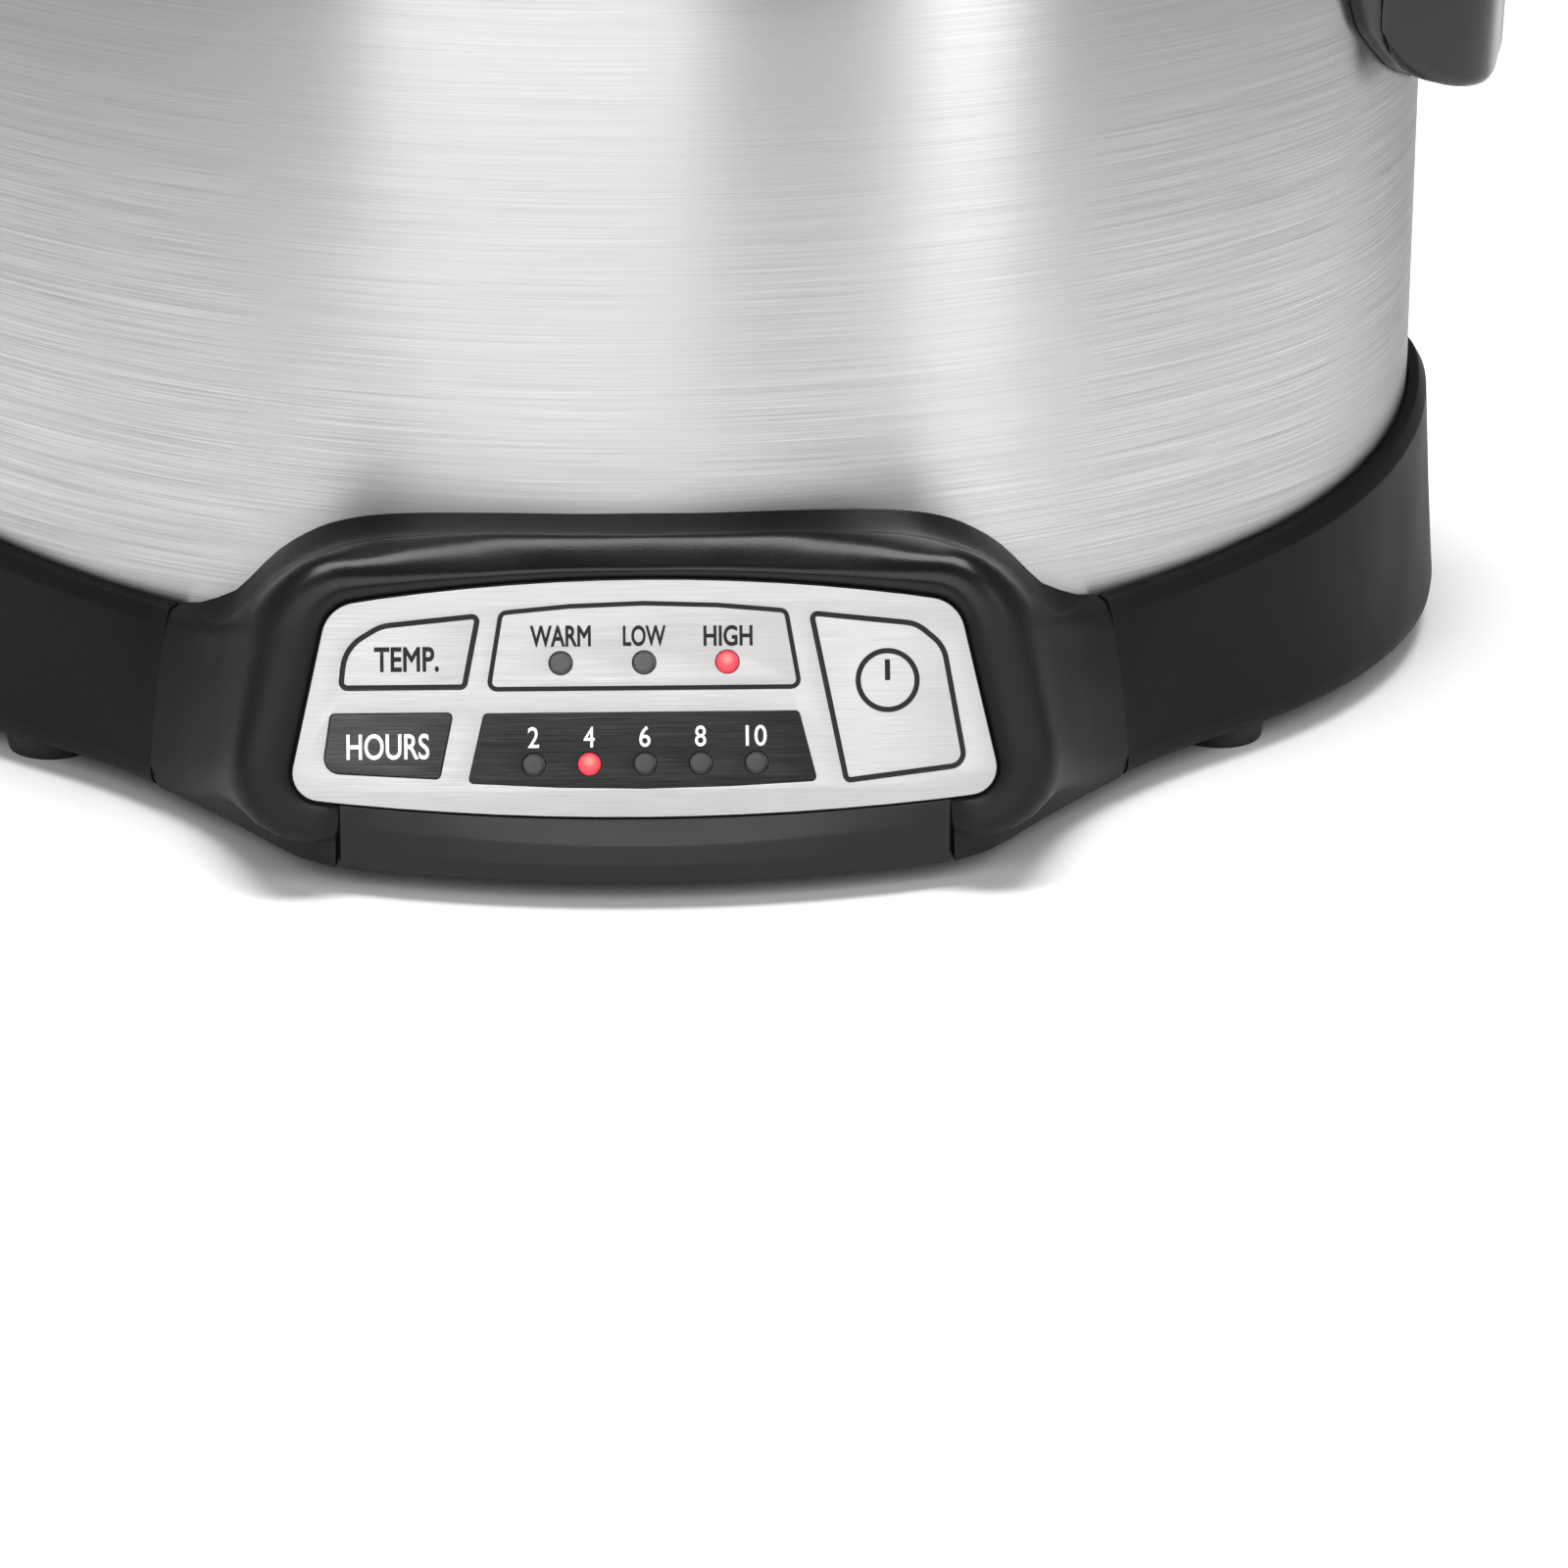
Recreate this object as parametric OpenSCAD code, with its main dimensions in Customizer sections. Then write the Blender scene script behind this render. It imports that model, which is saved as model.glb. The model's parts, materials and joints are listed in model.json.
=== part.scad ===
// Programmable oval slow cooker with a glass lid and a lift-out stoneware crock.
// Origin: on the surface it stands on, in the middle of the whole footprint. The panel faces -Y.

/* [Body] */
// Radius of the two end arcs of the oval body
end_radius = 100; // [96:1:104]
// Distance of each end arc's centre from the middle
end_shift = 40; // [36:1:44]
// Distance of each long arc's centre from the middle
side_shift = 42; // [40:1:44]
// Height of the top edge of the steel wrap
wrap_top = 150.2; // [146.2:1:160.2]
// Sheet thickness of the steel wrap
wrap_t = 0.6; // [0.4:0.1:0.9]
// Distance from the oval's middle to the front of the housing
front_reach = 150; // [149:0.5:152]

/* [Base] */
// Radius of a rubber foot
foot_r = 8; // [6:0.5:9]
// Height of the rubber feet
foot_h = 4.5; // [4.3:0.1:4.5]
// Half width of the control housing
housing_half = 77; // [74:1:80]

/* [Panel] */
// Lean of the control panel from upright, in degrees
panel_tilt = 24; // [22:1:26]
// Thickness of the panel plate
plate_t = 1.2; // [1:0.1:1.4]
// Gap round each key
key_gap = 0.3; // [0.2:0.05:0.4]
// Travel of each key
key_travel = 0.6; // [0.3:0.1:0.7]
// Radius of an indicator lens
lens_r = 1.9; // [1.5:0.1:2]

/* [Crock and lid] */
// Height of the crock's outer lip above the wrap
crock_lip = 9.3; // [8.3:0.5:10.3]
// Rise of the glass dome above its rim
dome_rise = 24.6; // [20:0.2:28]
// Thickness of the lid glass
glass_t = 4; // [3.6:0.1:4.2]
// Radius of the lid knob
knob_r = 21; // [18:0.5:24]

/* [Handles] */
// How far a side handle stands out from the wrap
grip_out = 15; // [14:0.5:16]
// Height of the underside of the handles
grip_low = 107; // [105:1:110]
// Height of the top of the handles
grip_top = 141; // [139:1:144]

/* [Cord inlet] */
// Radius of the hole for the cord
cord_r = 3.5; // [2.5:0.1:4]

/* [Hidden] */

smooth = 180;
side_radius = end_radius + sqrt(end_shift * end_shift + side_shift * side_shift);
half_length = end_radius + end_shift;
half_width = side_radius - side_shift;
far_x = 6 * end_shift;
far_y = 5 * side_shift;
gland_out = 7.7;
gland_in = 4;
gland_neck = 5;
gland_clear = gland_neck + 0.2;
body_y = (front_reach - half_width - gland_out) / 2;

skirt_out = 6;
flange_low = 4.5;
flange_top = 7;
pan_low = 4.8;
pan_t = 0.8;
well_t = 0.8;
well_wall = 12;
well_floor = 30.2;
well_rim = wrap_top + well_t;

plate_y = -143;
plate_z = 13.3;
wall_front = -plate_t;
wall_back = -3.6;
key_floor = -2.1;
board_front = -11.5;
board_t = 1.6;
switch_h = 2.9;
trim_centre = 8;
trim_half = 50;
upper_row = 25.15;
lower_row = 8.7;
heat_pitch = 13.55;
hour_pitch = 9.05;

temp_outline = [[-49.7, 21], [-29.8, 21], [-28.8, 22], [-26.6, 32.2], [-27.6, 33.2],
                [-41.8, 31.9], [-46.8, 29.3], [-49.2, 26]];
hours_outline = [[-50.5, 7.8], [-33.3, 6.4], [-31, 17.3], [-51, 17.3], [-52.1, 9.6]];
power_outline = [[33, 5.3], [36.3, 5.5], [50.5, 7.8], [52.1, 9.6], [49.8, 21.8], [48.8, 26.6],
                 [47.3, 29.1], [43.9, 31.4], [28, 33.2], [27, 31.7]];
heat_outline = [[-25.2, 21], [25.2, 21], [23.2, 33.4], [12, 34.4], [0, 34.8], [-12, 34.4], [-23.2, 33.4]];
clock_outline = [[-28.7, 5.8], [-14, 4.9], [0, 4.6], [14, 4.9], [27.9, 5.7], [25, 17.1], [-26.1, 17.1]];
temp_middle = [-38, 27];
hours_middle = [-41.5, 12];
power_middle = [40, 18];

foot_at = [100.5, 73.5];
foot_stem = 1.8;
sensor_y = -28;
housing_screw_at = [60, 20];
housing_screw_r = 1.2;
cap_proud = 0.15;
grip_plan = [[125.5, -54.5], [131, -52.5], [144, -47], [147.5, -44.5], [149.4, -40.5], [151.6, -29],
             [half_length + grip_out - 1, -12], [half_length + grip_out, 0]];
handle_screw_angle = 28.8;
handle_screw_z = 128;
board_low = 14;
board_at = [0, 62];
gland_z = 22;
glass_low = wrap_top + crock_lip - 2.3;
knob_base = glass_low + glass_t + dome_rise + 1.9;
dome_flat = 92;
dome_edge = 12;

// ---- shared shapes ----

// Moves a shape from the oval's own middle to its place over the footprint.
module place() {
  translate([0, body_y, 0]) children();
}

module end_wedge(s) {
  polygon([[s * end_shift, 0], [s * far_x, far_y], [s * far_x, -far_y]]);
}

module side_wedge(s) {
  polygon([[0, -s * side_shift], [far_x, s * far_y], [-far_x, s * far_y]]);
}

// The body's oval, drawn with four tangent arcs; d is the distance outside the body line.
module oval(d) {
  for (s = [-1, 1]) {
    intersection() {
      translate([s * end_shift, 0]) circle(r = end_radius + d, $fn = smooth);
      end_wedge(s);
    }
    intersection() {
      translate([0, -s * side_shift]) circle(r = side_radius + d, $fn = smooth);
      side_wedge(s);
    }
  }
}

// Carries a profile round the oval: x is the distance outside the body line, y the height.
module sweep() {
  for (s = [-1, 1]) {
    intersection() {
      translate([s * end_shift, 0, 0])
        rotate_extrude($fn = smooth) translate([end_radius, 0]) children();
      linear_extrude(300) end_wedge(s);
    }
    intersection() {
      translate([0, -s * side_shift, 0])
        rotate_extrude($fn = smooth) translate([side_radius, 0]) children();
      linear_extrude(300) side_wedge(s);
    }
  }
}

// A slab with the oval outline.
module oval_slab(d, low, high) {
  translate([0, 0, low]) linear_extrude(high - low) oval(d);
}

// A prism along X from an outline in Y and Z.
module along_x(half) {
  rotate([90, 0, 90]) translate([0, 0, -half]) linear_extrude(2 * half) children();
}

// A prism along Y, towards the front, from an outline in X and Z.
module along_y(from, length) {
  translate([0, from, 0]) rotate([90, 0, 0]) linear_extrude(length) children();
}

// Panel axes: x across, y up the panel, z out of its face.
module on_panel() {
  translate([0, plate_y, plate_z]) rotate([90 - panel_tilt, 0, 0]) children();
}

// A slab on the panel between two depths.
module panel_slab(low, high) {
  on_panel() translate([0, 0, low]) linear_extrude(high - low) children();
}

// A smaller copy of an outline, with the same gap on the sides and on the top and bottom.
module inset(points, middle, gap) {
  width = max([for (p = points) p[0]]) - min([for (p = points) p[0]]);
  height = max([for (p = points) p[1]]) - min([for (p = points) p[1]]);
  translate(middle) scale([1 - 2 * gap / width, 1 - 2 * gap / height])
    translate(-middle) polygon(points);
}

function unit(v) = v / norm(v);

// A wire with eight sides, swept through the given points.
module wire(points, r) {
  sides = 8;
  last = len(points) - 1;
  lean = [0.31, 0.48, 0.82];
  along = [for (i = [0 : last]) unit((i < last ? unit(points[i + 1] - points[i]) : [0, 0, 0])
                                     + (i > 0 ? unit(points[i] - points[i - 1]) : [0, 0, 0]))];
  ring_points = [for (i = [0 : last], k = [0 : sides - 1])
    let (u = unit(cross(along[i], lean)), w = cross(along[i], u), a = 360 * k / sides)
    points[i] + r * (cos(a) * u + sin(a) * w)];
  walls = [for (i = [0 : last - 1], k = [0 : sides - 1])
    let (a = i * sides + k, b = i * sides + (k + 1) % sides)
    each [[a, b, b + sides], [a, b + sides, a + sides]]];
  ends = [[for (k = [sides - 1 : -1 : 0]) k], [for (k = [0 : sides - 1]) last * sides + k]];
  polyhedron(ring_points, concat(walls, ends));
}

// A pan-head screw along +Z with its seat at z = 0 and its head below.
module screw(r, length, head_r, head_h) {
  difference() {
    union() {
      cylinder(r = r, h = length, $fn = 24);
      translate([0, 0, -head_h]) cylinder(r = head_r, h = head_h, $fn = 32);
    }
    for (turn = [0, 90]) rotate([0, 0, turn]) translate([-head_r * 0.6, -0.35, -head_h - 0.1])
      cube([head_r * 1.2, 0.7, head_h * 0.5]);
  }
}

// An outline given for its right half, with the left half added.
function mirrored(points) =
  concat(points, [for (i = [len(points) - 1 : -1 : 0]) [-points[i][0], points[i][1]]]);

// ---- base ----

// Top of the skirt seen from the side: high at the handles, low towards the front and back.
module skirt_top_cut() {
  along_x(170) polygon([[-140, 60], [-140, 28], [-97, 33], [-61, 37.6], [-39, 41.5], [-15, 45.2], [0, 46.3],
                        [15, 45.2], [39, 41.5], [61, 37.6], [97, 33], [140, 28], [140, 60]]);
}

module gland_hole() {
  translate([0, half_width - 20, gland_z]) rotate([-90, 0, 0]) cylinder(r = gland_clear, h = 40, $fn = 48);
}

module foot_places() {
  for (x = [-1, 1], y = [-1, 1]) translate([x * foot_at[0], y * foot_at[1], 0]) children();
}

module housing_screw_places() {
  for (x = [-1, 1]) translate([x * housing_screw_at[0], 0, housing_screw_at[1]])
    rotate([90, 0, 0]) children();
}

module base_skirt() {
  color("#161616") place() difference() {
    union() {
      difference() {
        sweep() polygon([[0.2, flange_low], [skirt_out - 1.5, flange_low],
                         [skirt_out - 0.4, flange_low + 1.2], [skirt_out, 9], [3, 50], [0.2, 50]]);
        translate([-housing_half, -160, 0]) cube([2 * housing_half, 90, 70]);
        skirt_top_cut();
      }
      sweep() polygon([[-14, pan_low + pan_t], [-7, pan_low + pan_t], [-7, flange_low], [1, flange_low],
                       [1, flange_top], [-14, flange_top]]);
    }
    foot_places() cylinder(r = foot_stem + 0.1, h = 12, $fn = 24);
    bottom_screw_places() cylinder(r = 1.25, h = 12, $fn = 24);
    gland_hole();
  }
}

// Control housing as a block: plan, front and side outlines together.
module housing_block(t) {
  intersection() {
    translate([0, 0, 4 + t]) linear_extrude(60)
      polygon(mirrored([[84 - t, -80], [84 - t, -104], [76.5 - t, -112], [70 - t, -119.5], [66 - t, -127],
                        [63 - t, -134], [58 - t, -139.5 + t], [52 - t, -142 + t], [40, -145.5 + t],
                        [20, -149 + t], [0, -150 + t]]));
    along_y(-60, 100)
      polygon(mirrored([[housing_half - t, 0], [housing_half - t, 33.5 - t], [74 - t, 34.2 - t],
                        [67 - t, 38 - t], [64 - t, 41.4 - t], [57 - t, 48.4 - t], [50.6 - t, 52.1 - t],
                        [41, 54.5 - t], [25, 55.7 - t], [0, 56.1 - t]]));
    along_x(90)
      polygon([[-60, 0], [-150 + t, 0], [-150 + t, 8], [-143.3 + t, 13.3], [-127.6 + t, 48.8],
               [-124 + t / 2, 52.2 - t / 2], [-112, 56.8 - t], [-60, 56.8 - t]]);
  }
}

module plate_outline() {
  polygon(mirrored([[0, 0], [19, 0.4], [38, 1.55], [48.5, 2.6], [53.4, 3.8], [56, 6.2], [56.9, 9.5],
                    [54.6, 21], [52.9, 27.4], [51.4, 30.6], [48.3, 33.8], [45, 35.3], [38, 36.4],
                    [19, 38.1], [0, 38.6]]));
}

module trim_zone(clear) {
  intersection() {
    translate([0, trim_centre, 0]) rotate_extrude($fn = smooth)
      polygon([[149 - clear, 0], [170, 0], [170, 12.4 + clear], [149 - clear, 12.4 + clear]]);
    translate([-trim_half - clear, -170, 0]) cube([2 * (trim_half + clear), 60, 30]);
  }
}

module lens_places() {
  for (i = [-1 : 1]) translate([i * heat_pitch, upper_row]) children();
  for (i = [-2 : 2]) translate([i * hour_pitch, lower_row]) children();
}

module board_boss_places() {
  for (x = [-46, 46]) translate([x, 6]) children();
  for (x = [-42, 42]) translate([x, 33]) children();
}

module control_housing() {
  color("#1b1b1b") place() difference() {
    union() {
      difference() {
        housing_block(0);
        housing_block(2.6);
      }
      intersection() {
        housing_block(0);
        union() {
          panel_slab(wall_back, 3) translate([-60, -4]) square([120, 46]);
          on_panel() board_boss_places() translate([0, 0, board_front]) cylinder(r = 3, h = 9, $fn = 32);
          housing_screw_places() translate([0, 0, 112]) cylinder(r = 4, h = 30, $fn = 32);
        }
      }
    }
    oval_slab(0.3, 0, 70);
    translate([0, 0, -1]) linear_extrude(8.2) oval(1.2);
    trim_zone(0.5);
    panel_slab(wall_front, 20) translate([0, -0.25]) scale([1.008, 1.014]) plate_outline();
    panel_slab(key_floor, 20) inset(temp_outline, temp_middle, 0);
    panel_slab(key_floor, 20) inset(hours_outline, hours_middle, 0);
    panel_slab(key_floor, 20) inset(power_outline, power_middle, 0);
    on_panel() {
      for (p = [temp_middle, hours_middle, power_middle])
        translate([p[0], p[1], -8]) cylinder(r = 2.4, h = 12, $fn = 32);
      lens_places() translate([0, 0, -8]) cylinder(r = lens_r + 0.2, h = 12, $fn = 32);
      board_boss_places() translate([0, 0, board_front - 1]) cylinder(r = 1, h = 8, $fn = 24);
    }
    housing_screw_places() translate([0, 0, 90]) cylinder(r = housing_screw_r + 0.1, h = 29, $fn = 24);
  }
}

module lower_trim() {
  color("#2c2c2e") place() intersection() {
    translate([0, trim_centre, 0]) rotate_extrude($fn = smooth)
      polygon([[149, 4], [157, 4], [158, 5], [158, 7], [156, 10.5], [151.6, 12.4], [149, 12.4]]);
    translate([-trim_half, -170, 0]) cube([2 * trim_half, 60, 30]);
  }
}

// ---- panel ----

module panel_plate() {
  color("#c9cacb") place() difference() {
    panel_slab(-plate_t, 0) plate_outline();
    panel_slab(-5, 5) {
      polygon(temp_outline);
      polygon(hours_outline);
      polygon(power_outline);
      polygon(heat_outline);
      polygon(clock_outline);
    }
  }
}

module heat_window() {
  color("#bfc0c2") place() difference() {
    panel_slab(-plate_t, 0.05) inset(heat_outline, [0, 27.9], 0.1);
    on_panel() lens_places() translate([0, 0, -5]) cylinder(r = lens_r + 0.05, h = 10, $fn = 32);
  }
}

module hours_window() {
  color("#0c0c0d") place() difference() {
    panel_slab(-plate_t, 0.05) inset(clock_outline, [0, 10.9], 0.1);
    on_panel() lens_places() translate([0, 0, -5]) cylinder(r = lens_r + 0.05, h = 10, $fn = 32);
  }
}

module lens() {
  translate([0, 0, -8.6]) cylinder(r = lens_r, h = 8.5, $fn = 32);
}

module dark_lenses() {
  color("#3a0d0d") place() on_panel() {
    for (i = [-1, 0]) translate([i * heat_pitch, upper_row]) lens();
    for (i = [-2, 0, 1, 2]) translate([i * hour_pitch, lower_row]) lens();
  }
}

module lit_lenses() {
  color("#ff2a1a") place() on_panel() {
    translate([heat_pitch, upper_row]) lens();
    translate([-hour_pitch, lower_row]) lens();
  }
}

module control_board() {
  color("#2f6b3a") place() difference() {
    panel_slab(board_front - board_t, board_front) translate([-50, 2.5]) square([100, 34]);
    on_panel() board_boss_places() translate([0, 0, -20]) cylinder(r = 1.7, h = 20, $fn = 24);
  }
}

module board_screws() {
  color("#8f9194") place() on_panel() board_boss_places()
    translate([0, 0, board_front - board_t]) screw(0.9, 7, 2.6, 1.4);
}

module leds() {
  color("#d8d8d0") place() on_panel() lens_places()
    translate([0, 0, board_front]) cylinder(r = 1.4, h = 2.6, $fn = 24);
}

module tact_switches() {
  color("#2a2a2a") place() on_panel() for (p = [temp_middle, hours_middle, power_middle])
    translate([p[0], p[1], board_front]) {
      translate([-3, -3, 0]) cube([6, 6, switch_h]);
      cylinder(r = 1.7, h = switch_h + 0.5, $fn = 24);
    }
}

// A key: a flush cap in its opening, with a plunger that reaches for the switch.
module key(points, middle) {
  panel_slab(-plate_t, cap_proud) inset(points, middle, key_gap);
  on_panel() translate([middle[0], middle[1], -7.3]) cylinder(r = 2, h = 7, $fn = 32);
}

module temp_key() {
  color("#c6c7c9") place() key(temp_outline, temp_middle);
}

module hours_key() {
  color("#0e0e0f") place() key(hours_outline, hours_middle);
}

module power_key() {
  color("#c6c7c9") place() key(power_outline, power_middle);
}

module housing_screws() {
  color("#8f9194") place() housing_screw_places()
    translate([0, 0, 101.8]) screw(housing_screw_r, 16, 3, 1.6);
}

// ---- body ----

module handle_screw_places() {
  for (s = [0, 1], turn = [-1, 1]) mirror([s, 0, 0])
    translate([end_shift, 0, handle_screw_z]) rotate([0, 0, turn * handle_screw_angle]) rotate([0, 90, 0])
      children();
}

// The wrap's lower edge has a wide cut-out behind the housing and a slot over the cord gland.
module outer_wrap() {
  color("#b9babc") place() difference() {
    sweep() translate([-wrap_t, flange_top]) square([wrap_t, wrap_top - flange_top]);
    translate([-48, -130, 0]) cube([96, 60, 42]);
    handle_screw_places() cylinder(r = 2, h = end_radius + 10, $fn = 24);
    housing_screw_places() translate([0, 0, 80]) cylinder(r = housing_screw_r + 0.3, h = 40, $fn = 24);
    translate([-gland_clear, half_width - 20, 0]) cube([2 * gland_clear, 40, gland_z + gland_clear]);
  }
}

module heating_well() {
  outer_lip = 1.2;
  color("#a9aaab") place() difference() {
    union() {
      sweep() polygon([[outer_lip, wrap_top - 4], [outer_lip, well_rim], [-well_wall - well_t, well_rim],
                       [-well_wall - well_t, 46], [-16.4, 36], [-26, well_floor + well_t],
                       [-34, well_floor + well_t], [-34, well_floor], [-26, well_floor], [-15.7, 35.4],
                       [-well_wall, 46], [-well_wall, wrap_top], [0.3, wrap_top], [0.3, wrap_top - 4]]);
      oval_slab(-32, well_floor, well_floor + well_t);
    }
    cylinder(r = 3.1, h = 60, $fn = 32);
    translate([0, sensor_y, 0]) cylinder(r = 8.5, h = 60, $fn = 48);
  }
}

module band_heater() {
  color("#d9d4c8") place() difference() {
    sweep() translate([0.05 - well_wall, 52]) square([1.2, 34]);
    translate([-7, 60, 40]) cube([14, 70, 60]);
  }
}

module heater_clamp() {
  color("#8f9194") place() translate([0, half_width - well_wall + 4.6, 69]) {
    for (x = [-1, 1]) translate([x * 9 - 1, -3.4, -8]) cube([2, 7, 16]);
    rotate([0, 90, 0]) translate([0, 0, -14]) cylinder(r = 1.5, h = 28, $fn = 24);
  }
}

module thermal_fuse() {
  color("#c8b070") place() translate([40, 30, well_floor - 2.2]) rotate([0, 90, 0]) {
    cylinder(r = 2, h = 12, $fn = 24);
    translate([0, 0, -6]) cylinder(r = 0.5, h = 24, $fn = 16);
  }
}

// The cup reaches through the well's floor towards the crock.
module sensor_cup() {
  color("#b4b5b7") place() translate([0, sensor_y, 0]) difference() {
    union() {
      translate([0, 0, well_floor + 1.4]) cylinder(r = 7.5, h = 1.2, $fn = 48);
      translate([0, 0, 24]) cylinder(r = 5, h = well_floor - 22, $fn = 48);
    }
    translate([0, 0, 23]) cylinder(r = 4.2, h = well_floor - 22.4, $fn = 48);
  }
}

// Coil spring drawn as its stack of turns, which keeps the room of the real coil.
module sensor_spring() {
  turns = 5;
  pitch = 2.6;
  coil_r = 6.2;
  color("#9c9ea1") place() translate([0, sensor_y, 10.4]) {
    for (i = [0 : turns]) translate([0, 0, i * pitch])
      rotate_extrude($fn = 48) translate([coil_r, 0]) circle(r = 0.6, $fn = 16);
    for (x = [-1, 1]) translate([x * coil_r, 0, 0]) cylinder(r = 0.45, h = turns * pitch, $fn = 16);
  }
}

module sensor_bracket() {
  color("#a4a5a7") place() translate([0, sensor_y, 0]) {
    difference() {
      translate([-14, -7, 8]) cube([28, 14, 1.6]);
      cylinder(r = 2, h = 20, $fn = 24);
    }
    for (x = [-14, 12.8]) translate([x, -7, pan_low + pan_t]) cube([1.2, 14, 3]);
  }
}

// ---- underside ----

module bottom_screw_places() {
  for (x = [-80, 0, 80], s = [-1, 1]) {
    y = x == 0 ? half_width - 10.5 : sqrt(pow(end_radius - 10.5, 2) - pow(abs(x) - end_shift, 2));
    translate([x, s * y, 0]) children();
  }
}

module bottom_plate() {
  slots = 7;
  slot_pitch = 9;
  color("#8d8e90") place() difference() {
    oval_slab(-7.3, pan_low, pan_low + pan_t);
    bottom_screw_places() cylinder(r = 1.7, h = 12, $fn = 24);
    cylinder(r = 2.7, h = 12, $fn = 32);
    for (s = [-1, 1], i = [0 : slots - 1])
      translate([s * 62 - 12, (i - (slots - 1) / 2) * slot_pitch - 1.25, 0]) cube([24, 2.5, 12]);
  }
}

module bottom_screws() {
  color("#77797c") place() bottom_screw_places() translate([0, 0, pan_low]) screw(1.2, 4, 3, 1.4);
}

module rubber_feet() {
  color("#232323") place() foot_places() {
    cylinder(r1 = foot_r - 0.8, r2 = foot_r, h = foot_h - 0.1, $fn = 48);
    cylinder(r = foot_stem, h = 9.4, $fn = 24);
    translate([0, 0, flange_top + 0.1]) cylinder(r1 = 2.6, r2 = foot_stem, h = 2.3, $fn = 24);
  }
}

module centre_bolt() {
  color("#8f9194") place() {
    translate([0, 0, 1]) cylinder(r = 2.5, h = well_floor + well_t - 1, $fn = 32);
    translate([0, 0, well_floor + well_t]) cylinder(r = 5, h = 1, $fn = 48);
  }
}

module centre_nut() {
  color("#77797c") place() difference() {
    translate([0, 0, pan_low - 3]) cylinder(r = 4.6, h = 3, $fn = 6);
    cylinder(r = 2.55, h = 10, $fn = 32);
  }
}

// ---- power electronics ----

module standoff_places() {
  for (x = [-1, 1], y = [-1, 1]) translate([board_at[0] + x * 34, board_at[1] + y * 19, 0]) children();
}

module power_board() {
  color("#7a5a2a") place() difference() {
    translate([board_at[0] - 38, board_at[1] - 23, board_low]) cube([76, 46, board_t]);
    standoff_places() cylinder(r = 1.6, h = 30, $fn = 24);
  }
}

module board_standoffs() {
  color("#c9c9c4") place() standoff_places() difference() {
    translate([0, 0, pan_low + pan_t]) cylinder(r = 3, h = board_low - pan_low - pan_t, $fn = 32);
    translate([0, 0, board_low - 6]) cylinder(r = 1.2, h = 7, $fn = 24);
  }
}

module power_board_screws() {
  color("#8f9194") place() standoff_places()
    translate([0, 0, board_low + board_t]) mirror([0, 0, 1]) screw(1.1, 6, 2.6, 1.4);
}

module relay() {
  color("#1f4f8f") place() translate([board_at[0] - 30, board_at[1] - 12, board_low + board_t])
    cube([20, 15, 12.2]);
}

module power_supply() {
  color("#3b3b3b") place() translate([board_at[0] - 2, board_at[1] - 14, board_low + board_t]) {
    cube([16, 14, 11]);
    translate([24, 2, 5.2]) rotate([-90, 0, 0]) cylinder(r = 5, h = 12, $fn = 32);
  }
}

module terminal_block() {
  color("#e6e4da") place() translate([board_at[0] - 10, board_at[1] + 8, board_low + board_t]) difference() {
    cube([20, 11, 9]);
    for (x = [5, 15]) translate([x, -1, 4.5]) rotate([-90, 0, 0]) cylinder(r = 1.6, h = 13, $fn = 24);
  }
}

// ---- cord inlet and leads ----

module cord_gland() {
  color("#101010") place() translate([0, half_width, gland_z]) rotate([-90, 0, 0]) difference() {
    union() {
      translate([0, 0, -gland_in]) cylinder(r = gland_neck, h = gland_in + gland_out - 1, $fn = 48);
      translate([0, 0, gland_out - 2]) cylinder(r1 = 7.5, r2 = 6.5, h = 2, $fn = 48);
      translate([0, 0, -gland_in]) cylinder(r = 6.5, h = 2.6, $fn = 48);
    }
    translate([0, 0, -gland_in - 2]) cylinder(r = cord_r, h = gland_in + gland_out + 4, $fn = 48);
  }
}

// The leads end at the gland's inner mouth, where the cord's own cores take over.
module mains_leads() {
  color("#e8e8e8") place() for (x = [-1, 1])
    wire([[x * 5, board_at[1] + 10, 20.1], [x * 5, board_at[1] + 26, 20.1],
          [x * 1.7, half_width - 14, gland_z], [x * 1.7, half_width - gland_in - 1.5, gland_z]], 1.2);
}

module heater_leads() {
  color("#b03030") place() {
    wire([[-20, board_at[1] - 12.3, 20], [-20, 40, 20], [-60, 30, 14], [-104, 24, 15], [-120, 20, 20],
          [-128.7, 18, 36], [-128.7, 18, 60]], 1.1);
    wire([[8, board_at[1] - 14.3, 20], [8, 40, 20], [33.9, 30, 28]], 1.1);
    wire([[58.2, 30, 28], [90, 26, 20], [118, 22, 19], [128.7, 18, 36], [128.7, 18, 60]], 1.1);
  }
}

module sensor_leads() {
  color("#303030") place() for (x = [-1, 1])
    wire([[x * 1.2, sensor_y, 28], [x * 1.2, sensor_y, 8.6], [x * 1.2, -26.4, 7], [x * 1.2 + 10, -2, 7.4],
          [x * 1.2 + 10, 30, 9], [x * 1.2 + 10, 38.2, 14.6]], 0.7);
}

// Flat ribbon from the panel's board back to the power board.
module panel_ribbon() {
  color("#505050") place() translate([22, 0, 0]) along_x(6)
    polygon([[-123, 17.6], [-112, 14.4], [-60, 12], [39, 12.4], [39, 13.2], [-60, 12.8], [-112, 15.2],
             [-123, 18.4]]);
}

// ---- handles ----

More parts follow.
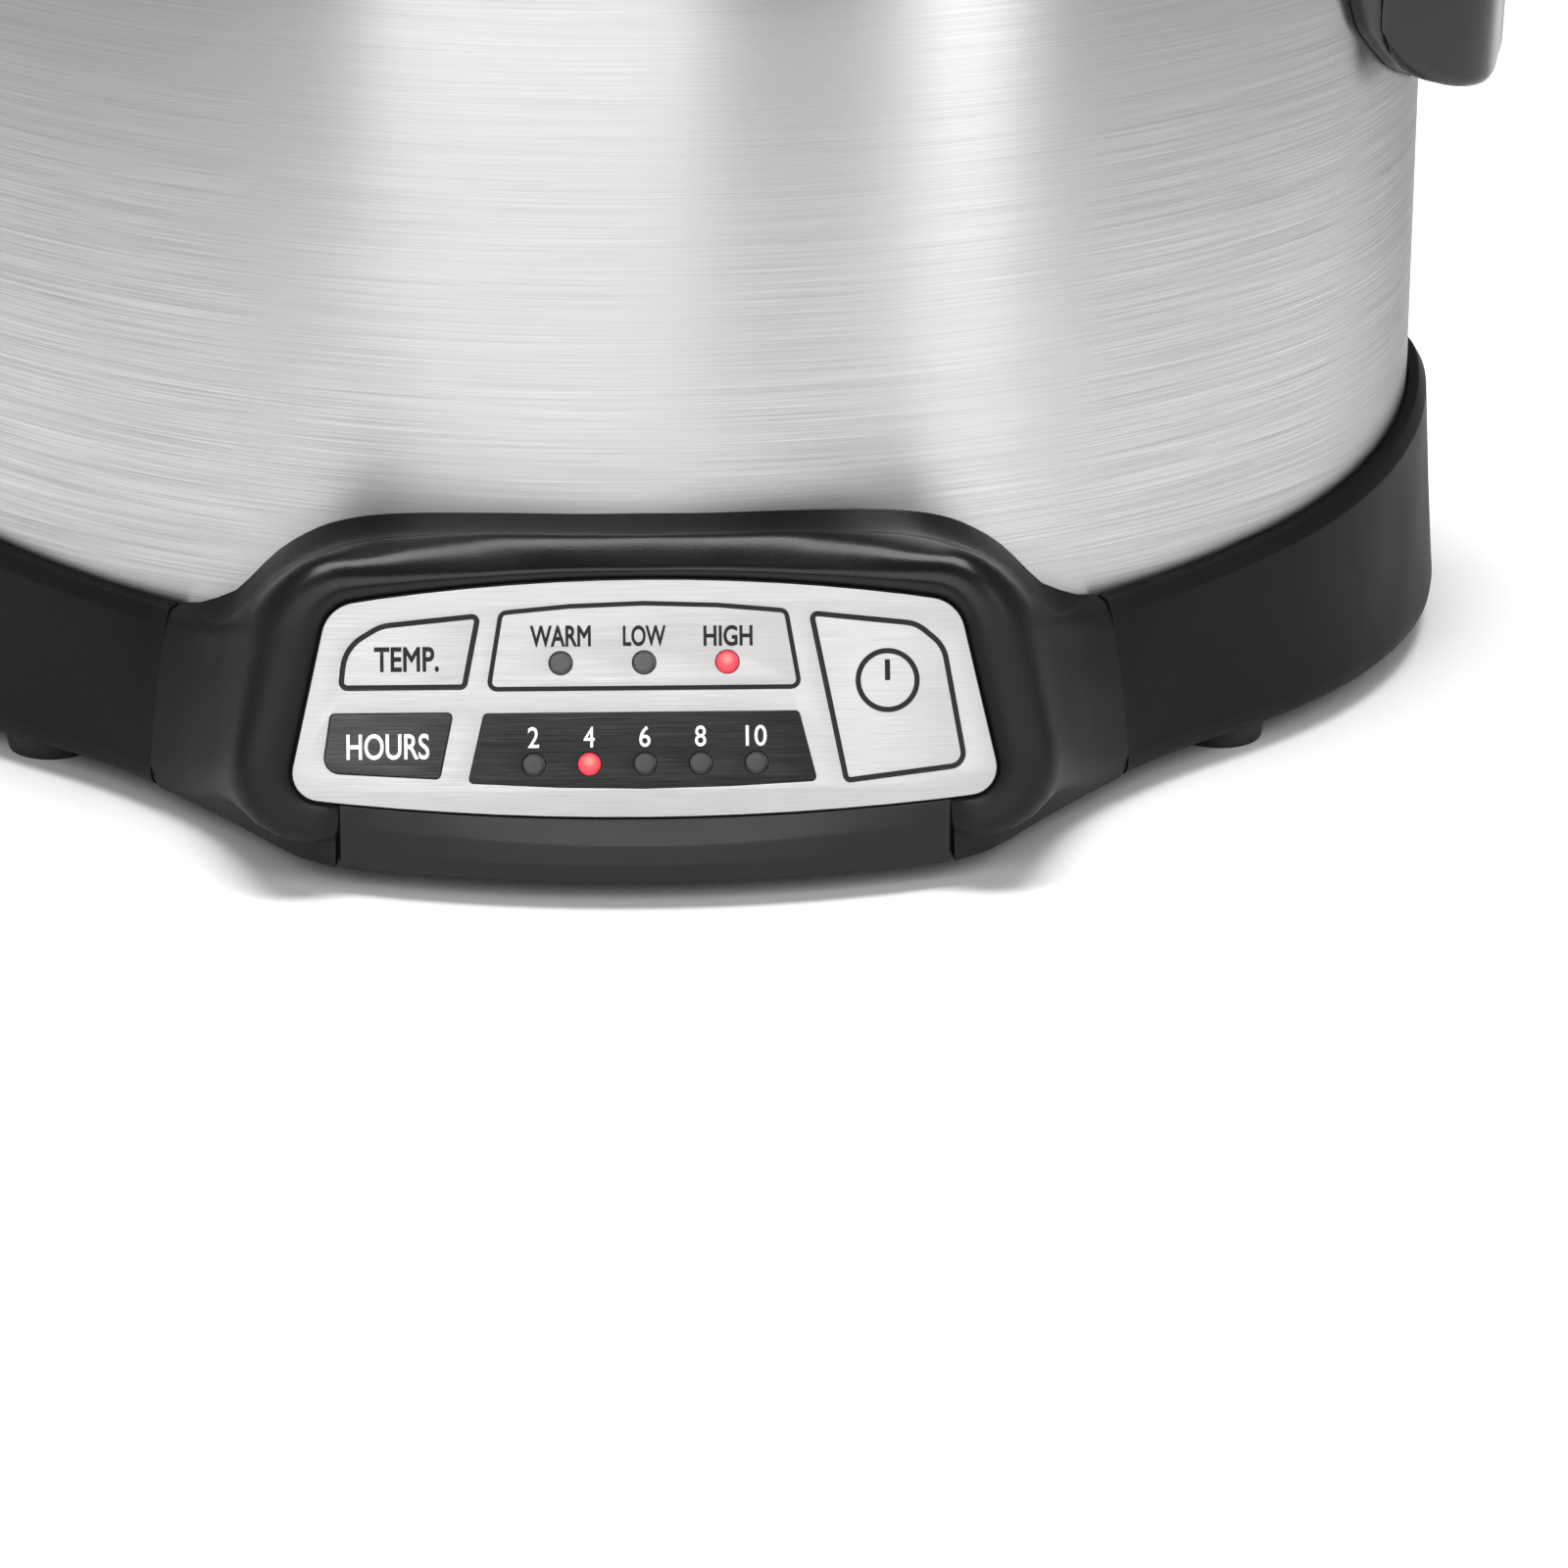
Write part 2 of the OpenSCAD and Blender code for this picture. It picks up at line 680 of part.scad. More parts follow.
module handle_base_shape() {
  difference() {
    intersection() {
      sweep() translate([0.1, 100]) square([2.5, 50]);
      along_x(170) polygon(across_side([[-54, 142], [-59, 140], [-62.5, 135], [-62.5, 128], [-61.2, 121.5],
                                        [-58, 116.8], [-52, 112], [-44, 107.6], [-32, 104.2], [-22, 103]]));
      translate([60, -70, 90]) cube([100, 140, 70]);
    }
    handle_screw_places() cylinder(r = 2, h = end_radius + 10, $fn = 24);
  }
}

// A side view given for its front half, with the back half added.
function across_side(points) =
  concat(points, [for (i = [len(points) - 1 : -1 : 0]) [-points[i][0], points[i][1]]]);

// A plan given for its front half, with the back half added.
function across(points) =
  concat(points, [for (i = [len(points) - 2 : -1 : 0]) [points[i][0], -points[i][1]]]);

module handle_grip_shape() {
  wall = 3.6;
  difference() {
    intersection() {
      translate([0, 0, 90]) linear_extrude(60) polygon(across(grip_plan));
      along_x(170) polygon(across_side([[-48, grip_top], [-54, grip_top - 5], [-55, 124], [-54, 117.5],
                                        [-51, 112.5], [-47, grip_low + 1.2], [-42, grip_low]]));
    }
    oval_slab(2.65, 80, 160);
    translate([0, 0, 80]) linear_extrude(grip_top - 5 - 80)
      polygon(across([for (p = grip_plan) [p[0] - wall, p[1] * 0.88]]));
    handle_screw_places() cylinder(r = 1.3, h = end_radius + 5, $fn = 24);
  }
}

module handle_base_left() {
  color("#141414") place() mirror([1, 0, 0]) handle_base_shape();
}

module handle_base_right() {
  color("#141414") place() handle_base_shape();
}

module handle_grip_left() {
  color("#1c1c1c") place() mirror([1, 0, 0]) handle_grip_shape();
}

module handle_grip_right() {
  color("#1c1c1c") place() handle_grip_shape();
}

module handle_screws() {
  color("#8f9194") place() handle_screw_places()
    translate([0, 0, end_radius - 1.2]) screw(1.2, 5.5, 2.8, 1.5);
}

// ---- crock ----

module crock() {
  lip = wrap_top + crock_lip;
  seat = lip - 3;
  color("#17171a") place() {
    sweep() polygon([[-1, well_rim], [-1, lip - 1], [-2, lip], [-4, lip], [-5, seat], [-19.5, seat],
                     [-21, seat - 1.5], [-23, 52], [-27, 44], [-36, 41], [-50, 41], [-50, 34.5],
                     [-34, 34.5], [-24, 38.5], [-17.5, 50], [-15, well_rim - 3], [-15, well_rim]]);
    oval_slab(-48, 34.5, 41);
  }
}

// ---- lid ----

// Height of the dome above the glass rim at a distance inside the body line.
function dome_radius() = (pow(dome_flat - dome_edge, 2) + pow(dome_rise, 2)) / (2 * dome_rise);
function dome_height(d) = dome_rise - dome_radius() + sqrt(pow(dome_radius(), 2) - pow(dome_flat - d, 2));

module lid_glass() {
  steps = 8;
  top = glass_low + glass_t;
  run = [for (i = [0 : steps]) dome_edge + (dome_flat - dome_edge) * i / steps];
  color("#dfe8e8", 0.45) place() difference() {
    union() {
      sweep() polygon(concat([[-6.6, glass_low], [-6.6, top]], [for (d = run) [-d, top + dome_height(d)]],
                             [for (i = [steps : -1 : 0]) [-run[i], glass_low + dome_height(run[i])]]));
      oval_slab(-dome_flat + 0.5, glass_low + dome_rise, top + dome_rise);
    }
    cylinder(r = 3.4, h = 300, $fn = 32);
  }
}

module lid_rim_band() {
  seat = wrap_top + crock_lip - 3;
  high = glass_low + glass_t + 0.8;
  color("#c4c5c7") place() sweep()
    polygon([[-5.9, seat], [-5.9, high], [-10, high], [-10, high - 0.6], [-6.5, high - 0.6],
             [-6.5, seat + 0.6], [-10, seat + 0.6], [-10, seat]]);
}

module knob_gasket() {
  color("#2a2a2a") place() translate([0, 0, knob_base - 1.9]) difference() {
    cylinder(r = 13, h = 1.9, $fn = 64);
    translate([0, 0, -1]) cylinder(r = 3.2, h = 5, $fn = 32);
  }
}

module lid_knob() {
  color("#151515") place() translate([0, 0, knob_base]) difference() {
    rotate_extrude($fn = 96)
      polygon([[0, 0], [14, 0], [14.5, 1.5], [11, 6], [10, 10], [12, 14], [knob_r - 1.5, 17],
               [knob_r, 19.5], [knob_r - 1, 23], [knob_r - 5, 26], [knob_r - 12, 27.5], [0, 28]]);
    translate([0, 0, -1]) cylinder(r = 2.5, h = 15, $fn = 32);
  }
}

module knob_washer() {
  color("#3a3a3a") place() translate([0, 0, glass_low + dome_rise - 1.2]) difference() {
    cylinder(r = 8, h = 1.2, $fn = 48);
    translate([0, 0, -1]) cylinder(r = 2.6, h = 4, $fn = 32);
  }
}

module knob_screw() {
  color("#8f9194") place() translate([0, 0, glass_low + dome_rise - 1.2]) screw(2.4, 18, 5, 2.4);
}

base_skirt();
control_housing();
lower_trim();
panel_plate();
heat_window();
hours_window();
dark_lenses();
lit_lenses();
control_board();
board_screws();
leds();
tact_switches();
housing_screws();
outer_wrap();
heating_well();
band_heater();
heater_clamp();
thermal_fuse();
sensor_cup();
sensor_spring();
sensor_bracket();
bottom_plate();
bottom_screws();
rubber_feet();
centre_bolt();
centre_nut();
power_board();
board_standoffs();
power_board_screws();
relay();
power_supply();
terminal_block();
cord_gland();
mains_leads();
heater_leads();
sensor_leads();
panel_ribbon();
handle_base_left();
handle_base_right();
handle_grip_left();
handle_grip_right();
handle_screws();
temp_key();
hours_key();
power_key();
crock();
lid_glass();
lid_rim_band();
knob_gasket();
lid_knob();
knob_washer();
knob_screw();
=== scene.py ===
"""Looks of the oval slow cooker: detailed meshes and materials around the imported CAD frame."""

import json
import math

import bmesh
import bpy
import numpy as np
from mathutils import Matrix, Vector


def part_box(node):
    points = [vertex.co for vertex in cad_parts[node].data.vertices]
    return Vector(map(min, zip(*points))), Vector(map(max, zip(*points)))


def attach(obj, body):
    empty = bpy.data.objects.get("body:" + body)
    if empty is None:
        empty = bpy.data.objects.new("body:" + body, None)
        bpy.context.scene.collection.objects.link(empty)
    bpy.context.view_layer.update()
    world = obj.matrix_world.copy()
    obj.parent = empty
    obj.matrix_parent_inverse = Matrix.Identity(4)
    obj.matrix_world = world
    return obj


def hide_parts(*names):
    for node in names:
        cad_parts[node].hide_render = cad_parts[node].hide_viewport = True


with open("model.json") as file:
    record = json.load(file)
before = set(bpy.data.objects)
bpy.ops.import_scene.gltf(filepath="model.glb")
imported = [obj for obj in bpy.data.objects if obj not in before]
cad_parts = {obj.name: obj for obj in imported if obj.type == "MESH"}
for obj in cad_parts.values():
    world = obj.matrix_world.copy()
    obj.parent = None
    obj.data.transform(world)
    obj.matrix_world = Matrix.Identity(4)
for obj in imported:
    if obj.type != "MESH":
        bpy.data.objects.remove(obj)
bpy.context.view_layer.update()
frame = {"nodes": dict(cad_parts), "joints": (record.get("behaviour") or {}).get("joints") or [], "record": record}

MM = 0.001

# ---- measures from the frame


def heights(node):
    """Lowest and highest point of a CAD node, in millimetres."""
    return [corner.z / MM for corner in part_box(node)]


wrap_low, wrap_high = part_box("outer_wrap")
HALF_LENGTH = (wrap_high.x - wrap_low.x) / 2 / MM
HALF_WIDTH = (wrap_high.y - wrap_low.y) / 2 / MM
BODY_Y = (wrap_high.y + wrap_low.y) / 2 / MM
WRAP_LOW, WRAP_TOP = heights("outer_wrap")
END_SHIFT = 40.0
END_R = HALF_LENGTH - END_SHIFT
SIDE_R = (END_SHIFT**2 + HALF_WIDTH**2 - END_R**2) / (2 * (HALF_WIDTH - END_R))
SIDE_SHIFT = SIDE_R - HALF_WIDTH
ARC_SPLIT = math.degrees(math.atan2(END_SHIFT, SIDE_SHIFT))

press_axis = next(j["axis"] for j in frame["joints"] if j["name"] == "power_key_press")
PANEL_OUT = -Vector(press_axis).normalized()
PANEL_ACROSS = Vector((1, 0, 0))
PANEL_UP = PANEL_OUT.cross(PANEL_ACROSS).normalized()
PLATE_T = 1.2
plate_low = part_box("panel_plate")[0]
PANEL_ORIGIN = Vector((0, plate_low.y, plate_low.z + PLATE_T * MM * PANEL_OUT.z))
PANEL_MATRIX = Matrix.Translation(PANEL_ORIGIN) @ Matrix(
    (PANEL_ACROSS, PANEL_UP, PANEL_OUT)
).transposed().to_4x4()

SKIRT_LOW = heights("base_skirt")[0]
HOUSING_HALF = 77.0
SEAM_ANGLE = math.degrees(math.asin(HOUSING_HALF / SIDE_R))
TRIM_HALF = 50.0
TRIM_LOW = heights("lower_trim")[0]
TRIM_GAP = 0.45
NOTCH_HALF = TRIM_HALF + TRIM_GAP
FRONT_R, FRONT_SHIFT = 158.0, 8.0
PLATE_BOW = 0.0011
WELD = 1e-7


# ---- camera, floor and lights

def add_object(name, data):
    obj = bpy.data.objects.new(name, data)
    bpy.context.scene.collection.objects.link(obj)
    return obj


def make_camera():
    """A long lens a little left of centre, looking down on the front of the base."""
    azimuth, elevation, roll = map(math.radians, (2.426, 21.517, 0.314))
    aim = Vector((28.5, BODY_Y, -37.6)) * MM
    distance = 1.2665
    look = Vector((math.sin(azimuth) * math.cos(elevation), math.cos(azimuth) * math.cos(elevation),
                   -math.sin(elevation)))
    level = look.cross(Vector((0, 0, 1))).normalized()
    upright = level.cross(look)
    right = level * math.cos(roll) + upright * math.sin(roll)
    up = upright * math.cos(roll) - level * math.sin(roll)
    data = bpy.data.cameras.new("camera")
    data.lens = 157.5
    data.sensor_width = 36
    data.clip_start = 0.05
    data.clip_end = 50
    camera = add_object("camera", data)
    bpy.context.scene.view_settings.view_transform = "Standard"
    camera.matrix_world = Matrix.Translation(aim - look * distance) @ Matrix((right, up, -look)).transposed().to_4x4()
    bpy.context.scene.camera = camera


def make_light(name, place, aim, size, power):
    data = bpy.data.lights.new(name, "AREA")
    data.shape = "RECTANGLE"
    data.size, data.size_y = size
    data.energy = power
    light = add_object(name, data)
    light.location = place
    light.rotation_euler = (Vector(aim) - Vector(place)).to_track_quat("-Z", "Y").to_euler()


def make_studio():
    half = 4.0
    mesh = bpy.data.meshes.new("floor")
    mesh.from_pydata([(-half, -half, 0), (half, -half, 0), (half, half, 0), (-half, half, 0)], [], [(0, 1, 2, 3)])
    floor = add_object("floor", mesh)
    mesh.materials.append(shader("floor_paper", (0.82, 0.82, 0.82), 0.9, Specular_IOR_Level=0.1)[0])
    world = bpy.data.worlds.new("studio")
    bpy.context.scene.world = world
    world.use_nodes = True
    background = world.node_tree.nodes["Background"]
    background.inputs["Color"].default_value = (1, 1, 1, 1)
    background.inputs["Strength"].default_value = 0.2
    make_light("key_left", (-0.42, -1.95, 1.25), (0, 0, 0.06), (1.7, 1.3), 24)
    make_light("key_right", (1.37, -1.43, 1.2), (0, 0, 0.06), (0.5, 1.5), 12)
    make_light("overhead", (0, 0.12, 1.7), (0, 0, 0), (1.5, 1.1), 54)


# ---- material helpers

def feed(tree, node, **inputs):
    """Sets a node's inputs: a socket is linked, and anything else is the input's own value."""
    for key, value in inputs.items():
        put(tree, node.inputs[key.replace("_", " ")], value)


def put(tree, target, value):
    if isinstance(value, bpy.types.NodeSocket):
        tree.links.new(value, target)
    else:
        target.default_value = value


def add_node(tree, kind, **inputs):
    node = tree.nodes.new("ShaderNode" + kind)
    feed(tree, node, **inputs)
    return node


def shader(name, color, rough, metal=0.0, **sockets):
    """A principled material; extra keywords set the shader's own sockets."""
    mat = bpy.data.materials.new(name)
    mat.use_nodes = True
    bsdf = mat.node_tree.nodes["Principled BSDF"]
    feed(mat.node_tree, bsdf, Base_Color=(*color, 1), Roughness=rough, Metallic=metal, **sockets)
    return mat, mat.node_tree, bsdf


def place_coords(tree, scale, source="Object"):
    """Coordinates in metres times scale, which is one number or one for each axis."""
    scale = scale if isinstance(scale, tuple) else (scale,) * 3
    coord = add_node(tree, "TexCoord")
    return add_node(tree, "Mapping", Scale=scale, Vector=coord.outputs[source]).outputs["Vector"]


def noise(tree, vector, detail=3.0, rough=0.5):
    return add_node(tree, "TexNoise", Scale=1.0, Detail=detail, Roughness=rough, Vector=vector).outputs["Fac"]


def spread(tree, value, low, high, frm=(0.3, 0.7)):
    """Maps a texture's usual range onto low to high."""
    return add_node(tree, "MapRange", From_Min=frm[0], From_Max=frm[1], To_Min=low, To_Max=high,
                    Value=value).outputs["Result"]


def blend_colors(tree, factor, first, second):
    node = tree.nodes.new("ShaderNodeMix")
    node.data_type = "RGBA"
    for index, value in ((6, first), (7, second)):
        put(tree, node.inputs[index], (*value, 1) if isinstance(value, tuple) else value)
    put(tree, node.inputs[0], factor)
    return node.outputs[2]


def add_values(tree, first, second, operation="ADD"):
    node = tree.nodes.new("ShaderNodeMath")
    node.operation = operation
    for index, value in enumerate((first, second)):
        put(tree, node.inputs[index], value)
    return node.outputs[0]


def bump(tree, bsdf, height, depth, strength=1.0):
    node = add_node(tree, "Bump", Strength=strength, Distance=depth, Height=height)
    feed(tree, bsdf, Normal=node.outputs["Normal"])


def tint(color, amount):
    return tuple(min(1.0, c * amount) for c in color)


def mottled(tree, value, color, dark, light, frm=(0.3, 0.7)):
    """The colour between two strengths of itself, following a texture."""
    return blend_colors(tree, spread(tree, value, 0, 1, frm), tint(color, dark), tint(color, light))


def edge_mask(tree, low=0.52, high=0.6):
    """1 on convex edges and corners, 0 elsewhere."""
    return spread(tree, add_node(tree, "NewGeometry").outputs["Pointiness"], 0.0, 1.0, (low, high))


def moulded(name, color, rough, grain=0.35, depth=0.02, wear=1.6, polish=(), **sockets):
    """Moulded plastic: fine grain, slow changes of gloss and slightly rubbed edges. polish is the height
    where the surface starts to be handled smooth, where it is fully so, and its roughness there."""
    mat, tree, bsdf = shader(name, color, rough, **sockets)
    fine = noise(tree, place_coords(tree, 1 / (grain * MM)), 2.0)
    slow = noise(tree, place_coords(tree, 45.0), 4.0)
    shade = mottled(tree, slow, color, 0.88, 1.14)
    shade = blend_colors(tree, edge_mask(tree), shade, tint(color, wear))
    feed(tree, bsdf, Base_Color=shade)
    gloss = add_values(tree, spread(tree, slow, rough - 0.05, rough + 0.05), spread(tree, fine, -0.03, 0.03))
    if polish:
        start, full, smooth = polish
        height = add_node(tree, "SeparateXYZ", Vector=place_coords(tree, 1 / MM))
        gloss = add_values(tree, gloss, spread(tree, height.outputs["Z"], 0, smooth - rough, (start, full)))
    feed(tree, bsdf, Roughness=gloss)
    bump(tree, bsdf, fine, depth * MM, 0.6)
    return mat


def streaks(tree, length, width, source="UV"):
    """Brushing along the first axis: long thin strokes of two sizes."""
    long_fine = noise(tree, place_coords(tree, (1 / (length * MM), 1 / (width * MM), 1), source), 2.0, 0.6)
    broad = noise(tree, place_coords(tree, (0.5 / (length * MM), 0.4 / (width * MM), 1), source), 2.0, 0.6)
    return add_values(tree, add_values(tree, long_fine, 0.62, "MULTIPLY"),
                      add_values(tree, broad, 0.38, "MULTIPLY"))


def brushed(name, color, rough, length=22.0, width=0.16, contrast=0.12, depth=0.004, metal=1.0,
            anisotropy=0.7, source="UV", **sockets):
    """Brushed metal, or an ink over brushed metal where metal is below 1."""
    mat, tree, bsdf = shader(name, color, rough, metal, Anisotropic=anisotropy, Anisotropic_Rotation=0.25, **sockets)
    stroke = streaks(tree, length, width, source)
    slow = noise(tree, place_coords(tree, 9.0), 3.0)
    shade = mottled(tree, stroke, color, 1 - contrast, 1 + contrast, (0.38, 0.62))
    shade = blend_colors(tree, spread(tree, slow, 0, 0.35), shade, tint(color, 0.94))
    gloss = spread(tree, stroke, rough + 0.06, rough - 0.06, (0.38, 0.62))
    feed(tree, bsdf, Base_Color=shade, Roughness=gloss)
    bump(tree, bsdf, stroke, depth * MM, 0.5)
    if source == "UV":
        tangent = add_node(tree, "Tangent")
        tangent.direction_type = "UV_MAP"
        tangent.uv_map = "UVMap"
        feed(tree, bsdf, Tangent=tangent.outputs["Tangent"])
    return mat


def rolled_metal(name, color, rough, metal=1.0, mottle=0.1):
    """Plain sheet, plated or drawn metal: faint cloudy gloss and fine scratches."""
    mat, tree, bsdf = shader(name, color, rough, metal)
    cloud = noise(tree, place_coords(tree, 120.0), 5.0)
    scratch = noise(tree, place_coords(tree, (900.0, 120.0, 900.0)), 3.0)
    shade = mottled(tree, cloud, color, 1 - mottle, 1 + mottle)
    shade = blend_colors(tree, edge_mask(tree), shade, tint(color, 1.25))
    gloss = add_values(tree, spread(tree, cloud, rough - 0.05, rough + 0.07), spread(tree, scratch, -0.04, 0.04))
    feed(tree, bsdf, Base_Color=shade, Roughness=gloss)
    bump(tree, bsdf, scratch, 0.004 * MM, 0.5)
    return mat


def glazed(name, color):
    """Glazed stoneware: deep gloss with a slow orange-peel ripple and pinprick speckle."""
    mat, tree, bsdf = shader(name, color, 0.12, Coat_Weight=0.6, Coat_Roughness=0.05)
    ripple = noise(tree, place_coords(tree, 160.0), 2.0)
    speckle = noise(tree, place_coords(tree, 1800.0), 1.0)
    shade = blend_colors(tree, spread(tree, speckle, 0, 1, (0.66, 0.74)), color, tint(color, 2.2))
    shade = blend_colors(tree, edge_mask(tree, 0.53, 0.62), shade, (0.05, 0.042, 0.036))
    feed(tree, bsdf, Base_Color=shade)
    feed(tree, bsdf, Roughness=spread(tree, ripple, 0.08, 0.17))
    bump(tree, bsdf, ripple, 0.03 * MM, 0.6)
    return mat


def clear_glass(name):
    mat, tree, bsdf = shader(name, (0.93, 0.97, 0.96), 0.02, Transmission_Weight=1.0, IOR=1.5)
    wave = noise(tree, place_coords(tree, 25.0), 2.0)
    smear = noise(tree, place_coords(tree, (90.0, 40.0, 90.0)), 5.0)
    feed(tree, bsdf, Roughness=spread(tree, smear, 0.005, 0.04))
    shade = blend_colors(tree, spread(tree, smear, 0, 1), (0.9, 0.96, 0.945), (0.95, 0.975, 0.97))
    feed(tree, bsdf, Base_Color=shade)
    bump(tree, bsdf, wave, 0.05 * MM, 0.3)
    return mat


def ink(name, color):
    """Screen-printed ink: flat, a touch uneven."""
    mat, tree, bsdf = shader(name, color, 0.42, Specular_IOR_Level=0.15)
    grain = noise(tree, place_coords(tree, 2500.0), 2.0)
    shade = mottled(tree, grain, color, 0.85, 1.1)
    feed(tree, bsdf, Base_Color=shade, Roughness=spread(tree, grain, 0.36, 0.5))
    bump(tree, bsdf, grain, 0.003 * MM, 0.4)
    return mat


def lamp_lens(name, color, glow=0.0):
    """A tinted lens with fine lines across it; the lit one glows from above its middle."""
    mat, tree, bsdf = shader(name, color, 0.34, Coat_Weight=0.12, Coat_Roughness=0.2, Specular_IOR_Level=0.3)
    ripple = noise(tree, place_coords(tree, (1 / (4 * MM), 1 / (0.16 * MM), 1), "UV"), 2.0)
    shade = mottled(tree, ripple, color, 0.65, 1.5)
    feed(tree, bsdf, Base_Color=shade)
    feed(tree, bsdf, Roughness=spread(tree, ripple, 0.2, 0.36))
    bump(tree, bsdf, ripple, 0.02 * MM, 0.7)
    if glow:
        uv = add_node(tree, "TexCoord")

        def nearness(centre, radius):
            offset = tree.nodes.new("ShaderNodeVectorMath")
            offset.operation = "DISTANCE"
            tree.links.new(uv.outputs["UV"], offset.inputs[0])
            offset.inputs[1].default_value = (0, centre * MM, 0)
            return spread(tree, offset.outputs["Value"], 1.0, 0.0, (0.0, radius * MM))

        rim = blend_colors(tree, spread(tree, nearness(0, 1.9), 0, 1, (0.03, 0.16)), (0, 0, 0),
                           (0.8, 0.012, 0.03))
        hot = add_values(tree, spread(tree, nearness(0.45, 1.5), 0, 1, (0.2, 0.9)),
                         spread(tree, ripple, 0.6, 1.2), "MULTIPLY")
        feed(tree, bsdf, Emission_Color=blend_colors(tree, hot, rim, (1.0, 0.3, 0.2)))
        feed(tree, bsdf, Emission_Strength=glow)
    return mat


# ---- mesh helpers

def finish_object(name, mesh, material, body, replaced=(), matrix=None, sharp=32):
    """Smooth shading with true edges, a material, a body, and the CAD nodes that it stands for."""
    mesh.materials.clear()
    mesh.materials.append(MATERIALS[material])
    mesh.shade_smooth()
    mesh.set_sharp_from_angle(angle=math.radians(sharp))
    if matrix is not None:
        mesh.transform(matrix)
    obj = add_object(name, mesh)
    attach(obj, body)
    if replaced:
        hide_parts(*replaced)


def clean(mesh, weld=0.0, fill=False):
    """Joins points nearer than weld, closes open edges if asked, and turns the faces outwards."""
    work = bmesh.new()
    work.from_mesh(mesh)
    if weld:
        bmesh.ops.remove_doubles(work, verts=work.verts, dist=weld)
    if fill:
        bmesh.ops.holes_fill(work, edges=[e for e in work.edges if e.is_boundary])
    bmesh.ops.recalc_face_normals(work, faces=work.faces)
    work.to_mesh(mesh)
    work.free()
    return mesh


def grid_mesh(name, rows, close_rows=False, close_columns=True, cap=False, weld=WELD):
    """Quads through rows of points in millimetres, with UVs in metres along and across the rows."""
    count, width = len(rows), len(rows[0])
    array = np.array(rows, float)
    along = np.linalg.norm(np.roll(array, -1, 0) - array, axis=2).max(axis=1)
    across = np.linalg.norm(np.roll(array, -1, 1) - array, axis=2).mean(axis=0)
    u = np.concatenate([[0], np.cumsum(along)]) * MM
    v = np.concatenate([[0], np.cumsum(across)]) * MM
    faces, uvs = [], []
    for i in range(count if close_rows else count - 1):
        for k in range(width if close_columns else width - 1):
            i2, k2 = (i + 1) % count, (k + 1) % width
            faces.append((i * width + k, i * width + k2, i2 * width + k2, i2 * width + k))
            uvs += [(u[i], v[k]), (u[i], v[k + 1]), (u[i + 1], v[k + 1]), (u[i + 1], v[k])]
    if cap and not close_rows:
        for ring, order in ((0, 1), (count - 1, -1)):
            faces.append(tuple(ring * width + k for k in range(width))[::order])
            uvs += [(array[ring][k][1] * MM, array[ring][k][2] * MM) for k in range(width)][::order]
    mesh = bpy.data.meshes.new(name)
    mesh.from_pydata([tuple(p) for p in array.reshape(-1, 3) * MM], [], faces)
    layer = mesh.uv_layers.new(name="UVMap")
    layer.data.foreach_set("uv", np.array(uvs, np.float32).ravel())
    return clean(mesh, weld)


def join_meshes(name, meshes):
    work = bmesh.new()
    for mesh in meshes:
        work.from_mesh(mesh)
        bpy.data.meshes.remove(mesh)
    joined = bpy.data.meshes.new(name)
    work.to_mesh(joined)
    work.free()
    return joined


def fillet(points, radius, steps=4):
    """Rounds the corners of a closed outline. radius is one number or one for each corner."""
    count = len(points)
    radii = radius if isinstance(radius, (list, tuple)) else [radius] * count
    out = []
    for i, here in enumerate(points):
        p0, p1, p2 = (Vector(points[i - 1]), Vector(here), Vector(points[(i + 1) % count]))
        back, forth = p0 - p1, p2 - p1
        reach = 0.49 * min(back.length, forth.length)
        back.normalize()
        forth.normalize()
        angle = back.angle(forth)
        if radii[i] <= 0:
            out.append(tuple(p1))
            continue
        if angle > math.radians(177):
            short = min(radii[i], reach) * 0.1
            out += [tuple(p1 + back * short * (1 - 2 * s / steps)) for s in range(steps + 1)]
            continue
        run = min(radii[i] / math.tan(angle / 2), reach)
        arc_r = run * math.tan(angle / 2)
        middle = p1 + (back + forth).normalized() * (arc_r / math.sin(angle / 2))
        a, b = p1 + back * run - middle, p1 + forth * run - middle
        sweep_angle = a.angle(b)
        for s in range(steps + 1):
            t = s / steps
            w0 = math.sin((1 - t) * sweep_angle) / math.sin(sweep_angle)
            w1 = math.sin(t * sweep_angle) / math.sin(sweep_angle)
            out.append(tuple(middle + a * w0 + b * w1))
    return out


def oval(phi, d=0.0):
    """Point in plan at distance d outside the body line; phi is the normal's angle from the front."""
    phi = (phi + 180) % 360 - 180
    side, back = (1 if phi >= 0 else -1), abs(phi) > 90
    turn = abs(phi)
    sine, cosine = math.sin(math.radians(turn)), math.cos(math.radians(turn))
    if turn <= ARC_SPLIT or turn >= 180 - ARC_SPLIT:
        shift = -SIDE_SHIFT if back else SIDE_SHIFT
        return (side * (SIDE_R + d) * sine, BODY_Y + shift - (SIDE_R + d) * cosine)
    return (side * (END_SHIFT + (END_R + d) * sine), BODY_Y - (END_R + d) * cosine)


def ring_angles(start=0.0, stop=360.0, step=1.5):
    count = max(2, round((stop - start) / step))
    return [start + (stop - start) * i / count for i in range(count + 1)]


def sweep(name, profile, start=None, stop=None, step=1.5, cap=True):
    """Carries a closed profile of (distance outside the body line, height) round the oval."""
    whole = start is None
    angles = ring_angles(180.0, 540.0, step)[:-1] if whole else ring_angles(start, stop, step)
    rows = []
    for phi in angles:
        outline = profile(phi) if callable(profile) else profile
        rows.append([(*oval(phi, d), z) for d, z in outline])
    return grid_mesh(name, rows, close_rows=whole, cap=cap and not whole)


